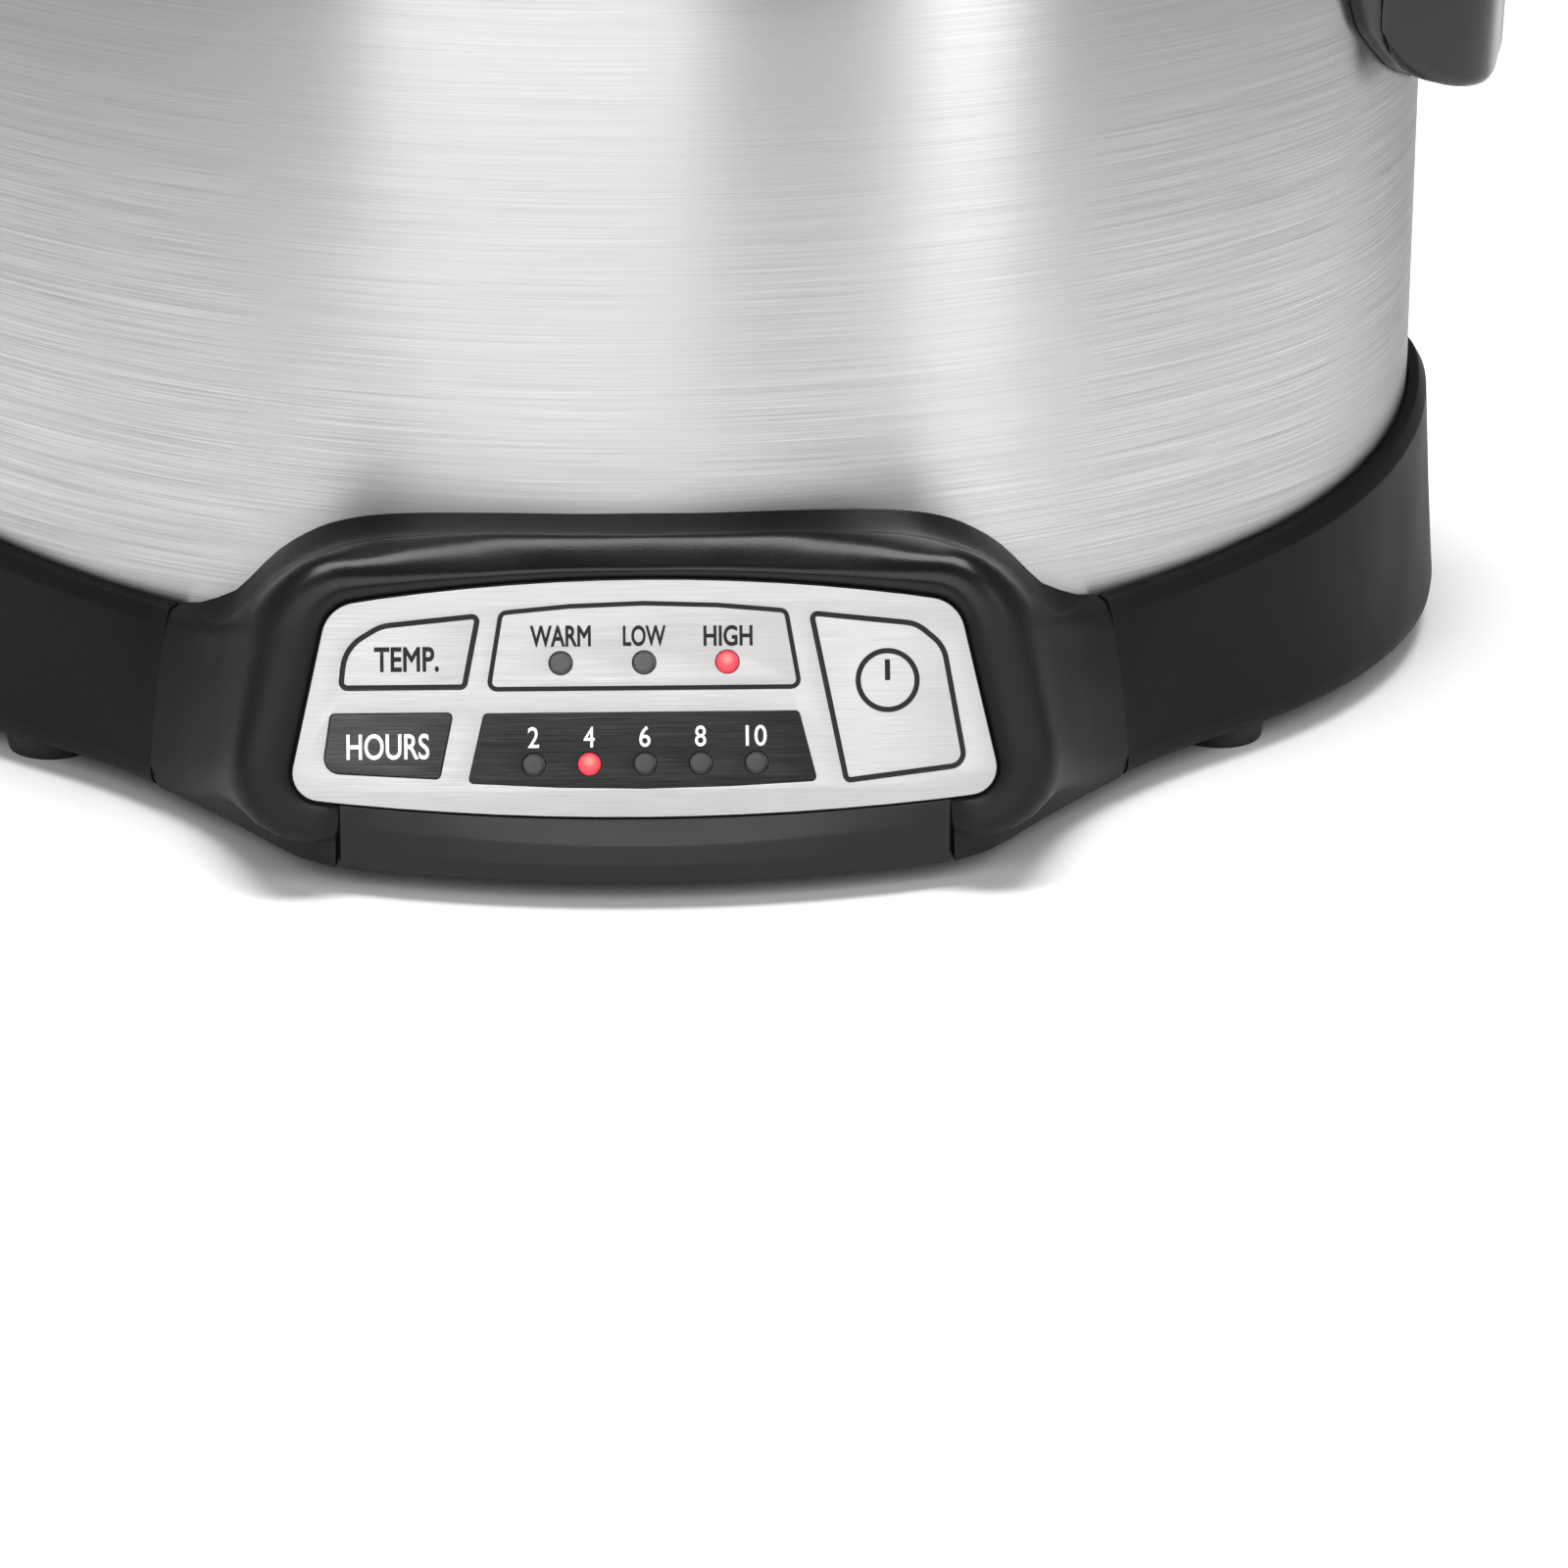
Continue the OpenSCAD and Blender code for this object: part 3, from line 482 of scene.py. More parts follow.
def revolve(name, outline, segments=96, closed=False):
    """Turns an outline of (radius, height) round Z. An open outline starts and ends on the axis."""
    rows = []
    for i in range(segments):
        a = 2 * math.pi * i / segments
        rows.append([(r * math.cos(a), r * math.sin(a), z) for r, z in outline])
    return grid_mesh(name, rows, close_rows=True, close_columns=closed)


def mesh_of(name, curve):
    """The mesh that a curve makes; the curve itself goes."""
    holder = add_object(name, curve)
    mesh = bpy.data.meshes.new_from_object(holder.evaluated_get(bpy.context.evaluated_depsgraph_get()))
    bpy.data.objects.remove(holder)
    bpy.data.curves.remove(curve)
    return mesh


def outline_solid(name, loops, low, high, bevel=0.0, bevel_steps=2):
    """A flat piece from closed outlines in millimetres, the first outside and the rest holes in it."""
    curve = bpy.data.curves.new(name, "CURVE")
    curve.dimensions = "2D"
    curve.fill_mode = "BOTH"
    for loop in loops:
        spline = curve.splines.new("POLY")
        spline.points.add(len(loop) - 1)
        for point, (x, y) in zip(spline.points, loop):
            point.co = (x, y, 0, 1)
        spline.use_cyclic_u = True
    curve.extrude = (high - low) / 2 - bevel
    curve.bevel_depth = bevel
    curve.bevel_resolution = bevel_steps
    curve.offset = -bevel
    mesh = mesh_of(name, curve)
    mesh.transform(Matrix.Translation((0, 0, (low + high) / 2)))
    return flat_uvs(mesh)


def flat_uvs(mesh):
    """UVs in metres straight from x and y, and the mesh itself from millimetres to metres."""
    clean(mesh, WELD / MM)
    mesh.transform(Matrix.Scale(MM, 4))
    while mesh.uv_layers:
        mesh.uv_layers.remove(mesh.uv_layers[0])
    mesh.uv_layers.new(name="UVMap")
    return plan_uvs(mesh)


def plan_uvs(mesh):
    plan = [mesh.vertices[loop.vertex_index].co[:2] for loop in mesh.loops]
    mesh.uv_layers[0].data.foreach_set("uv", np.array(plan, np.float32).ravel())
    return mesh


# ---- materials

MATERIALS = {}


def material(make, name, *look, **sockets):
    MATERIALS[name] = make(name, *look, **sockets)


material(moulded, "skirt_plastic", (0.0052, 0.005, 0.0052), 0.56, Specular_IOR_Level=0.13)
material(moulded, "housing_plastic", (0.0055, 0.0053, 0.0055), 0.56, Specular_IOR_Level=0.23,
         polish=(41.0, 50.0, 0.2))
material(moulded, "trim_plastic", (0.014, 0.014, 0.0155), 0.52, Specular_IOR_Level=0.2)
for part in ("panel_silver", "window_silver"):
    material(brushed, part, (0.46, 0.457, 0.453), 0.5, 9.0, 0.12, 0.1, 0.001, 0.5, 0.3)
material(brushed, "window_black", (0.016, 0.0155, 0.0155), 0.42, 9.0, 0.14, 0.75, 0.003, 0.3, 0.4,
         Specular_IOR_Level=0.25)
material(lamp_lens, "lens_dark", (0.045, 0.043, 0.045))
material(lamp_lens, "lens_hidden", (0.02, 0.018, 0.019))
material(lamp_lens, "lens_lit", (0.5, 0.03, 0.04), 1.1)
material(brushed, "wrap_steel", (0.52, 0.52, 0.525), 0.36, 34.0, 0.16, 0.12, 0.0015, 1.0, 0.9,
         Specular_Tint=(0.45, 0.45, 0.46, 1))
material(moulded, "handle_base_plastic", (0.011, 0.0105, 0.011), 0.42, Specular_IOR_Level=0.35)
material(moulded, "handle_grip_plastic", (0.011, 0.01, 0.01), 0.3, 0.3, 0.01, Specular_IOR_Level=0.35)
material(brushed, "key_silver", (0.47, 0.467, 0.463), 0.5, 9.0, 0.12, 0.1, 0.001, 0.5, 0.3)
material(brushed, "key_black", (0.026, 0.025, 0.025), 0.4, 9.0, 0.14, 0.65, 0.003, 0.35, 0.4)
material(glazed, "crock_glaze", (0.013, 0.012, 0.013))
material(clear_glass, "lid_glass")
material(brushed, "rim_steel", (0.74, 0.74, 0.74), 0.16, 40.0, 0.3, 0.04, 0.001, 1.0, 0.5)
for look in (
    ("screw_steel", (0.52, 0.52, 0.53), 0.3), ("well_aluminised", (0.5, 0.5, 0.5), 0.36, 1.0, 0.04),
    ("clamp_steel", (0.5, 0.5, 0.51), 0.35), ("fuse_brass", (0.62, 0.45, 0.18), 0.3),
    ("cup_aluminium", (0.7, 0.7, 0.71), 0.3), ("spring_steel", (0.5, 0.5, 0.52), 0.25),
    ("bracket_steel", (0.55, 0.55, 0.55), 0.35), ("bottom_steel", (0.5, 0.5, 0.5), 0.4),
):
    material(rolled_metal, *look)
for look in (
    ("board_green", (0.03, 0.14, 0.05), 0.35, 0.6), ("board_tan", (0.3, 0.2, 0.08), 0.5, 0.8),
    ("led_resin", (0.7, 0.7, 0.66), 0.2, 0.6), ("switch_plastic", (0.04, 0.04, 0.04), 0.4),
    ("heater_mica", (0.55, 0.5, 0.4), 0.5, 1.2), ("foot_rubber", (0.012, 0.012, 0.012), 0.75, 0.5, 0.03),
    ("standoff_nylon", (0.7, 0.7, 0.66), 0.45), ("relay_plastic", (0.03, 0.1, 0.32), 0.35),
    ("supply_plastic", (0.05, 0.05, 0.05), 0.4), ("terminal_nylon", (0.68, 0.67, 0.62), 0.4),
    ("gland_plastic", (0.013, 0.013, 0.013), 0.5), ("lead_white", (0.7, 0.7, 0.68), 0.5),
    ("lead_red", (0.36, 0.03, 0.025), 0.5), ("lead_black", (0.03, 0.03, 0.03), 0.5),
    ("ribbon_grey", (0.25, 0.25, 0.26), 0.5), ("gasket_rubber", (0.03, 0.03, 0.03), 0.6),
    ("knob_phenolic", (0.012, 0.012, 0.0125), 0.28, 0.4, 0.008), ("washer_steel", (0.06, 0.05, 0.045), 0.6),
):
    material(moulded, *look)
material(ink, "ink_black", (0.012, 0.012, 0.012))
material(ink, "ink_white", (0.84, 0.84, 0.84))


def dress_cad_nodes():
    """Every carried-over CAD node takes the material of its slot."""
    slots = {row["node"]: row["material_slot"] for row in frame["record"]["subparts"]}
    for name, obj in frame["nodes"].items():
        look = MATERIALS[slots[name]]
        if not obj.material_slots:
            obj.data.materials.append(look)
        for slot in obj.material_slots:
            slot.material = look


# ---- body

def make_wrap():
    thick = 0.6
    profile = fillet([(0, WRAP_LOW), (0, WRAP_TOP), (-thick, WRAP_TOP), (-thick, WRAP_LOW)], 0.2, 2)
    mesh = sweep("outer_wrap_sheet", profile)
    finish_object("outer_wrap_sheet", mesh, "wrap_steel", "base", ["outer_wrap"])


def skirt_top(y):
    """Height of the skirt's top edge: high at the handles, low towards the front and back."""
    crown, fall, soft = 46.3, 13.6 / 97, 9.0
    return crown - fall * (math.sqrt((y - BODY_Y) ** 2 + soft**2) - soft)


def skirt_flare(phi, z):
    """The skirt swells at its foot where it runs into the control housing."""
    x, y = oval(phi)
    near = max(0.0, (97 - abs(x)) / 20) if y < BODY_Y else 0.0
    return 4.6 * min(near, 1.3) ** 2 * max(0.0, 1 - max(0.0, z / skirt_top(y)) ** 2.2)


def skirt_face(phi, z):
    """Distance of the skirt's outer face outside the body line."""
    top = skirt_top(oval(phi)[1])
    t = max(0.0, min(1.0, (z - 8) / (top - 8)))
    return 6.0 - 2.6 * t**0.9 + skirt_flare(phi, z)


def skirt_profile(phi):
    top = skirt_top(oval(phi)[1])
    low, lip = SKIRT_LOW, 2.6
    face = [(skirt_face(phi, z), z) for z in (8.0, 14.0, 20.0, 26.0)]
    upper = (skirt_face(phi, top - lip) + 0.1, top - lip)
    corners = [(0.25, top), (upper[0] - 1.5, top), upper, *reversed(face),
               (skirt_face(phi, 7) - 0.25, low + 1.3), (skirt_face(phi, 6) - 1.6, low), (0.25, low)]
    radii = [0.2, 0.7, 0.8, 3, 3, 3, 3, 1.5, 0.8, 0.2]
    return fillet(corners, radii, 3)


def make_skirt():
    outer = sweep("skirt_outer", skirt_profile, SEAM_ANGLE, 360 - SEAM_ANGLE, 1.25)
    pan = 5.6
    flange = fillet([(-14, pan), (-7, pan), (-7, SKIRT_LOW), (0.8, SKIRT_LOW), (0.8, 7), (-14, 7)], 0.3, 2)
    inner = sweep("skirt_flange", flange, step=2.0)
    mesh = join_meshes("base_skirt_ring", [outer, inner])
    finish_object("base_skirt_ring", mesh, "skirt_plastic", "base", ["base_skirt"])


def make_feet():
    high = heights("rubber_feet")[1]
    outline = fillet([(0, 0.4), (5.2, 0.4), (5.2, 0), (7.4, 0), (8, 3.6), (7.9, 4.4), (1.8, 4.4), (1.8, 7.1),
                      (2.6, 7.1), (1.8, high), (0, high)],
                     [0, 0.3, 0.3, 0.5, 0.6, 0.3, 0.3, 0.1, 0.3, 0.3, 0], 3)
    low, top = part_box("rubber_feet")
    x = top.x / MM - 8
    for side, back in ((-1, -1), (1, -1), (-1, 1), (1, 1)):
        y = (top.y / MM - 8) if back > 0 else (low.y / MM + 8)
        mesh = revolve("foot", outline, 48)
        name = "foot_" + ("back" if back > 0 else "front") + ("_right" if side > 0 else "_left")
        place = Matrix.Translation(Vector((side * x, y, 0)) * MM)
        finish_object(name, mesh, "foot_rubber", "base", ["rubber_feet"], matrix=place)


def make_gland():
    box_low, box_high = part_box("cord_gland")
    out = box_high.y / MM
    z = (box_low.z + box_high.z) / 2 / MM
    outline = fillet([(3.5, 0), (6.3, 0), (7.5, 2), (5, 2), (5, 9.1), (6.5, 9.1), (6.5, 11.7), (3.5, 11.7)],
                     [0.6, 0.8, 0.3, 0.2, 0.2, 0.3, 0.3, 0.3], 3)
    mesh = revolve("cord_gland_bush", outline, 64, True)
    place = Matrix.Translation(Vector((0, out, z)) * MM) @ Matrix.Rotation(math.radians(90), 4, "X")
    finish_object("cord_gland_bush", mesh, "gland_plastic", "base", ["cord_gland"], matrix=place)


# ---- control housing

def panel_point(u, v, w=0.0):
    """A point on the panel: u across, v up the face, w out of it, all in millimetres."""
    return PANEL_ORIGIN / MM + PANEL_ACROSS * u + PANEL_UP * v + PANEL_OUT * w


def plate_outline(grow=0.0, steps=8):
    """The plate's outline: bowed top and bottom, sloping sides, round corners."""
    half, samples = 48.0, 12
    bottom = [(half * (2 * i / samples - 1), PLATE_BOW * (half * (2 * i / samples - 1)) ** 2)
              for i in range(samples + 1)]
    crown = 43.0
    top = [(crown * (1 - 2 * i / samples), 38.6 - 0.0015 * (crown * (1 - 2 * i / samples)) ** 2)
           for i in range(samples + 1)]
    right = [(58.2, 3.7), (51.3, 34.6)]
    left = [(-51.3, 34.6), (-58.2, 3.7)]
    points = bottom + right + top + left
    radii = [0] * len(bottom) + [6.5, 9.5] + [0] * len(top) + [9.5, 6.5]
    shape = fillet(points, radii, steps)
    return grow_outline(shape, grow) if grow else shape


def grow_outline(points, distance):
    """Moves each point of a closed anticlockwise outline outwards."""
    pts = np.array(points)
    side = np.roll(pts, -1, 0) - np.roll(pts, 1, 0)
    side /= np.linalg.norm(side, axis=1)[:, None]
    return [tuple(p) for p in pts + distance * np.stack([side[:, 1], -side[:, 0]], 1)]


def run_along(points):
    """Distance along a polyline at each of its points."""
    return np.concatenate([[0], np.cumsum(np.linalg.norm(np.diff(points, axis=0), axis=1))])


def resample(points, count, closed=True):
    """Evenly spaced points along a polyline."""
    pts = np.array(points, float)
    if closed:
        pts = np.vstack([pts, pts[:1]])
    run = run_along(pts)
    at = np.linspace(0, run[-1], count, endpoint=not closed)
    return np.stack([np.interp(at, run, pts[:, k]) for k in range(pts.shape[1])], 1)


def curve_through(points, per_span=10):
    """A smooth open curve through 3-D points (Catmull-Rom)."""
    pts = [np.array(p, float) for p in points]
    pts = [2 * pts[0] - pts[1], *pts, 2 * pts[-1] - pts[-2]]
    out = []
    for i in range(1, len(pts) - 2):
        p0, p1, p2, p3 = pts[i - 1:i + 3]
        for s in range(per_span):
            t = s / per_span
            out.append(0.5 * (2 * p1 + (p2 - p0) * t + (2 * p0 - 5 * p1 + 4 * p2 - p3) * t**2
                              + (3 * p1 - p0 - 3 * p2 + p3) * t**3))
    out.append(pts[-2])
    return np.array(out)


def on_wrap(x, z):
    """A point on the wrap's front at that x and height."""
    phi = math.degrees(math.asin(x / SIDE_R))
    return (*oval(phi, 0.3), z)


def front_edge(x, reach):
    """Plan of the housing's rounded front: an arc through the middle of the trim."""
    return (x, BODY_Y + FRONT_SHIFT - math.sqrt((FRONT_R - reach) ** 2 - x**2), SKIRT_LOW)


def housing_border():
    """Right half of the housing's outer border, from the bottom centre round to the top centre, as its
    pieces: front edge, foot of the flank, seam with the skirt, and line on the wrap."""
    front = [front_edge(x, 0) for x in (0, 12, 24, 36, 46, NOTCH_HALF)]
    foot = curve_through([(NOTCH_HALF, front[-1][1], SKIRT_LOW), (57, BODY_Y - 136.5, SKIRT_LOW),
                          (64.8, BODY_Y - 125.7, SKIRT_LOW), (72, BODY_Y - 116, SKIRT_LOW),
                          (*oval(SEAM_ANGLE, skirt_face(SEAM_ANGLE, 6) - 1.2), SKIRT_LOW)])
    seam = [(*oval(SEAM_ANGLE, skirt_face(SEAM_ANGLE, z)), z) for z in (8, 12, 17, 22, 27, 31)]
    top = skirt_top(oval(SEAM_ANGLE)[1])
    seam.append((*oval(SEAM_ANGLE, 2.0), top))
    line = curve_through([on_wrap(x, z) for x, z in ((77, top), (73.5, 34.6), (67, 38), (64, 41.4), (60.6, 45.3),
                                                    (57, 48.4), (50.6, 52.1), (41, 54.5), (25, 55.7),
                                                    (0, 56.1))])
    return front, foot, np.array(seam), line


def skirt_heading(z):
    """Direction of the skirt's face at its seam with the housing, towards the front."""
    phi, step = SEAM_ANGLE, 0.2
    here, there = (Vector((*oval(p, skirt_face(p, z)), 0)) for p in (phi, phi - step))
    return (there - here).normalized()


COLUMNS = 200


def housing_frames():
    """For each column round the plate's right half: the plate's edge point, the border point, and its share
    of the border's length; also the shares at which the trim's gap, the foot and the seam end."""
    outline = resample(plate_outline(), 2400)
    start = int(np.argmin(np.abs(outline[:, 0]) + np.abs(outline[:, 1])))
    outline = np.roll(outline, -start, 0)
    half = outline[:1201]
    front, foot, seam, line = housing_border()
    border = np.vstack([np.array(front), foot[1:], seam, line[1:]])
    run = run_along(border)
    marks = [0, len(front) - 1, len(front) + len(foot) - 2, len(front) + len(foot) - 2 + len(seam),
             len(border) - 1]
    plate_run = run_along(half)

    def plate_at(u, v):
        return plate_run[int(np.argmin((half[:, 0] - u) ** 2 + (half[:, 1] - v) ** 2))]

    pairs = [(0, 0), (plate_at(NOTCH_HALF, 2.8), run[marks[1]]), (plate_at(55.6, 5.2), run[marks[2]] - 12),
             (plate_at(57, 8), run[marks[2]]), (plate_at(52.2, 30), run[marks[3]]),
             (plate_at(49.5, 33.8), run[marks[3]] + 17), (plate_at(43, 36), run[marks[3]] + 34),
             (plate_run[-1], run[-1])]
    at = np.linspace(0, plate_run[-1], COLUMNS // 2 + 1)
    mapped = np.interp(at, *np.array(pairs).T)
    kernel = np.ones(5) / 5
    for _ in range(2):
        padded = np.concatenate([2 * mapped[0] - mapped[2:0:-1], mapped, 2 * mapped[-1] - mapped[-2:-4:-1]])
        mapped = np.convolve(padded, kernel, "valid")
    notch = int(np.argmin(np.abs(mapped - pairs[1][1])))
    for column, shift in ((notch, 0.0), (notch - 1, -0.05)):
        at[column] = pairs[1][0] + shift
        mapped[column] = pairs[1][1] + shift
    plate = np.stack([np.interp(at, plate_run, half[:, k]) for k in range(2)], 1)
    edge = np.stack([np.interp(mapped, run, border[:, k]) for k in range(3)], 1)
    return plate, edge, [run[mark] / run[-1] for mark in marks[1:4]], mapped / run[-1]


def bezier(p0, p1, p2, p3, count, first=True):
    out = []
    for i in range(0 if first else 1, count + 1):
        t = i / count
        out.append(p0 * (1 - t)**3 + p1 * 3 * t * (1 - t)**2 + p2 * 3 * t**2 * (1 - t) + p3 * t**3)
    return out


def eased_corner(before, corner, after, share_before, share_after, count):
    """A corner of a path rounded by a parabola that takes up that share of the legs on its two sides."""
    p0 = corner.lerp(before, share_before)
    p2 = corner.lerp(after, share_after)
    steps = [i / count for i in range(count + 1)]
    return [p0 * (1 - t)**2 + corner * 2 * t * (1 - t) + p2 * t**2 for t in steps]


def housing_columns():
    """Each column of the housing's skin, from the plate's edge over the crest to the border."""
    plate, edge, marks, share = housing_frames()
    nxt, prv = np.roll(plate, -1, 0), np.roll(plate, 1, 0)
    nxt[-1], prv[0] = plate[-1] * (1, 1) - (1, 0), plate[0] - (1, 0)
    side = nxt - prv
    side /= np.linalg.norm(side, axis=1)[:, None]
    outward = np.stack([side[:, 1], -side[:, 0]], 1)
    columns = []
    knots = [0, marks[0], marks[0] + 0.06, marks[1], marks[2], marks[2] + 0.1, 0.85, 1]
    crest_out = np.interp(share, knots, [3.2, 3.4, 4.4, 5.4, 5.2, 4.4, 3.0, 2.4])
    crest_up = np.interp(share, knots, [-1.5, -1.5, 0.7, 2.0, 1.5, 0.8, 0.1, -0.1])
    crest_lean = np.radians(np.interp(share, knots, [0, 0, 0, 0, 4, 12, 20, 21]))
    for i, (u, v) in enumerate(plate):
        e = PANEL_ACROSS * outward[i, 0] + PANEL_UP * outward[i, 1]
        crest = panel_point(u, v, crest_up[i]) + e * crest_out[i]
        start = panel_point(u, v, -0.9) + e * 0.45
        border = Vector(edge[i])
        step = Vector(edge[max(0, i - 1)]) - border
        along_foot = step.normalized() if step.length > 1e-6 else Vector((-1, 0, 0))
        along_skirt = skirt_heading(border.z)
        off_wrap = Vector((border.x / SIDE_R * 0.9, -0.92, -0.34))
        over = e * math.cos(crest_lean[i]) - PANEL_OUT * math.sin(crest_lean[i])
        if share[i] <= marks[1]:
            lie = max(0.0, (share[i] - marks[0]) / (marks[1] - marks[0]))
            tangent = Vector((0, 0, 1)).lerp(along_foot, float(0.9 * lie))
        else:
            rise = min(1.0, max(0.0, (share[i] - marks[2] + 0.03) / 0.12))
            tangent = along_skirt.lerp(off_wrap, float(rise))
        tangent.normalize()
        gap = (border - crest).length
        dish = bezier(start, start + PANEL_OUT * (crest_up[i] + 0.9) * 0.6 + e * 0.3,
                      crest - over * crest_out[i] * 0.6, crest, 10)
        roll = float(np.interp(share[i], knots, [1.5, 1.5, 3.2, 4.6, 4.8, 5.2, 6.5, 6.5]))
        run_out = float(np.interp(share[i], knots, [2.5, 2.5, 6.0, 12.0, 8.0, 6.0, 6.0, 5.5]))
        roll, run_out = min(roll, 0.46 * gap), min(run_out, 0.46 * gap)
        shoulder, heel = crest + over * roll, border + tangent * run_out
        ramp = (heel - shoulder).length
        flank = eased_corner(crest, shoulder, heel, 0.96, min(0.48, roll * 1.3 / ramp), 12)
        flank += eased_corner(shoulder, heel, border, min(0.48, run_out / ramp), 0.96, 12) + [border]
        columns.append([panel_point(u, v, -2.2) - e * 4, panel_point(u, v, -2.2) + e * 0.45] + dish + flank)
    return columns, share, marks


def make_housing():
    columns, share, marks = housing_columns()
    slot_depth = 3.0
    right = []
    for column, s in zip(columns, share):
        tail = column[-1]
        inward = Vector((-tail.x * 0.3, BODY_Y - tail.y, 0)).normalized()
        under = tail + inward * 4 + Vector((0, 0, 0.3 if s < marks[1] else 0))
        column = column + [tail + inward * 1.0, under]
        if s < marks[0] - 0.0001:
            column = [p if k < 3 else p + Vector((0, slot_depth, 0.6)) for k, p in enumerate(column)]
        right.append(column)
    left = [[Vector((-p.x, p.y, p.z)) for p in column] for column in right[-2:0:-1]]
    mesh = grid_mesh("control_housing_shell", right + left, close_rows=True, close_columns=False, weld=0)
    finish_object("control_housing_shell", mesh, "housing_plastic", "base", ["control_housing"], sharp=50)


def make_trim():
    """The trim bar under the plate, bowed like the housing's front, between two narrow gaps."""
    half, count = TRIM_HALF - TRIM_GAP, 72
    rows = []
    for i in range(count + 1):
        x = half * (2 * i / count - 1)
        front = FRONT_SHIFT - math.sqrt(FRONT_R**2 - x**2)
        top = panel_point(x, PLATE_BOW * x * x, 0.1)
        top_y, top_z = top.y - BODY_Y, top.z - 0.45
        crest_y = front + 0.3 * max(0.0, top_y - front)
        crest_z = 10.2 + 0.0008 * x * x
        low = TRIM_LOW + 0.1
        outline = fillet([(front + 8, low), (front + 0.9, low), (front, low + 1.2), (front, 7.6),
                          (crest_y, crest_z), (top_y, top_z), (top_y + 4.5, top_z - 0.4)],
                         [0.2, 0.5, 0.5, 1.0, 1.6, 0.3, 0.2], 5)
        rows.append([(x, y + BODY_Y, z) for y, z in outline])
    mesh = grid_mesh("lower_trim_bar", rows, cap=True)
    finish_object("lower_trim_bar", mesh, "trim_plastic", "base", ["lower_trim"], sharp=40)


# ---- panel

TEMP_KEY = ([(-49.7, 21), (-28.9, 21), (-26.4, 33.4), (-42.8, 31.8), (-48.9, 28.2)], [1.4, 1.2, 1.2, 7, 7])
HOURS_KEY = ([(-52.5, 7.6), (-33.3, 6.4), (-31, 17.3), (-51, 17.3)], [2.6, 0.9, 0.9, 0.9])
POWER_KEY = ([(32.4, 5.2), (52.6, 7.7), (49.2, 27.6), (44.6, 31.5), (26.8, 33.4)], [1.2, 2.6, 6, 6, 1.2])
HEAT_WINDOW = ([(-25.3, 21), (25.3, 21), (23.2, 33.4), (12, 34.4), (0, 34.8), (-12, 34.4), (-23.2, 33.4)],
               [1.2, 1.2, 1.2, 0, 0, 0, 1.2])
CLOCK_WINDOW = ([(-28.8, 5.7), (-14, 4.9), (0, 4.6), (14, 4.9), (28, 5.6), (25.1, 17.1), (-26.1, 17.1)],
                [0.8, 0, 0, 0, 0.8, 0.8, 0.8])
UPPER_ROW, LOWER_ROW = 25.15, 8.7
HEAT_PITCH, HOUR_PITCH = 13.55, 9.05


def rounded(shape, grow=0.0, steps=6):
    points, radii = shape
    loop = fillet(points, radii, steps)
    return grow_outline(loop, grow) if grow else loop


def circle(u, v, r, steps=32):
    return [(u + r * math.cos(2 * math.pi * i / steps), v + r * math.sin(2 * math.pi * i / steps))
            for i in range(steps)]


def panel_piece(name, loops, low, high, material, body="base", replaced=(), bevel=0.0):
    mesh = outline_solid(name, loops, low, high, bevel)
    return finish_object(name, mesh, material, body, replaced, PANEL_MATRIX, 40)


def band(loop_shape, outer, inner):
    return [rounded(loop_shape, outer), rounded(loop_shape, inner)[::-1]]


def make_panel():
    openings = [rounded(shape)[::-1] for shape in (TEMP_KEY, HOURS_KEY, POWER_KEY, HEAT_WINDOW, CLOCK_WINDOW)]
    panel_piece("panel_face", [plate_outline(), *openings], -PLATE_T, 0, "panel_silver", "base",
                ["panel_plate"], bevel=0.12)
    heat_holes = [circle(i * HEAT_PITCH, UPPER_ROW, 2.0)[::-1] for i in (-1, 0, 1)]
    hour_holes = [circle(i * HOUR_PITCH, LOWER_ROW, 1.95)[::-1] for i in range(-2, 3)]
    panel_piece("heat_window_face", [rounded(HEAT_WINDOW, -0.03), *heat_holes], -PLATE_T, 0,
                "window_silver", "base", ["heat_window"], bevel=0.05)
    panel_piece("hours_window_face", [rounded(CLOCK_WINDOW, -0.03), *hour_holes], -PLATE_T, 0,
                "window_black", "base", ["hours_window"], bevel=0.05)
    line = 0.38
    panel_piece("heat_window_border", band(HEAT_WINDOW, line, -line), -0.02, 0.03, "ink_black", "base", ())
    for name, shape, material in (("temp_key", TEMP_KEY, "key_silver"), ("hours_key", HOURS_KEY, "key_black"),
                                  ("power_key", POWER_KEY, "key_silver")):
        panel_piece(name + "_cap", [rounded(shape, -0.16)], -PLATE_T, 0.1, material, name, [name], 0.12)
        if material == "key_silver":
            panel_piece(name + "_border", band(shape, -0.17, -0.85), 0.06, 0.115, "ink_black", name, ())
        middle = np.mean(np.array(shape[0]), axis=0)
        plunger = revolve(name + "_plunger", fillet([(0, -7.3), (2, -7.3), (2, -1), (0, -1)], [0, 0.4, 0, 0]), 24)
        finish_object(name + "_plunger", plunger, "switch_plastic", name, (),
                      PANEL_MATRIX @ Matrix.Translation((middle[0] * MM, middle[1] * MM, 0)))


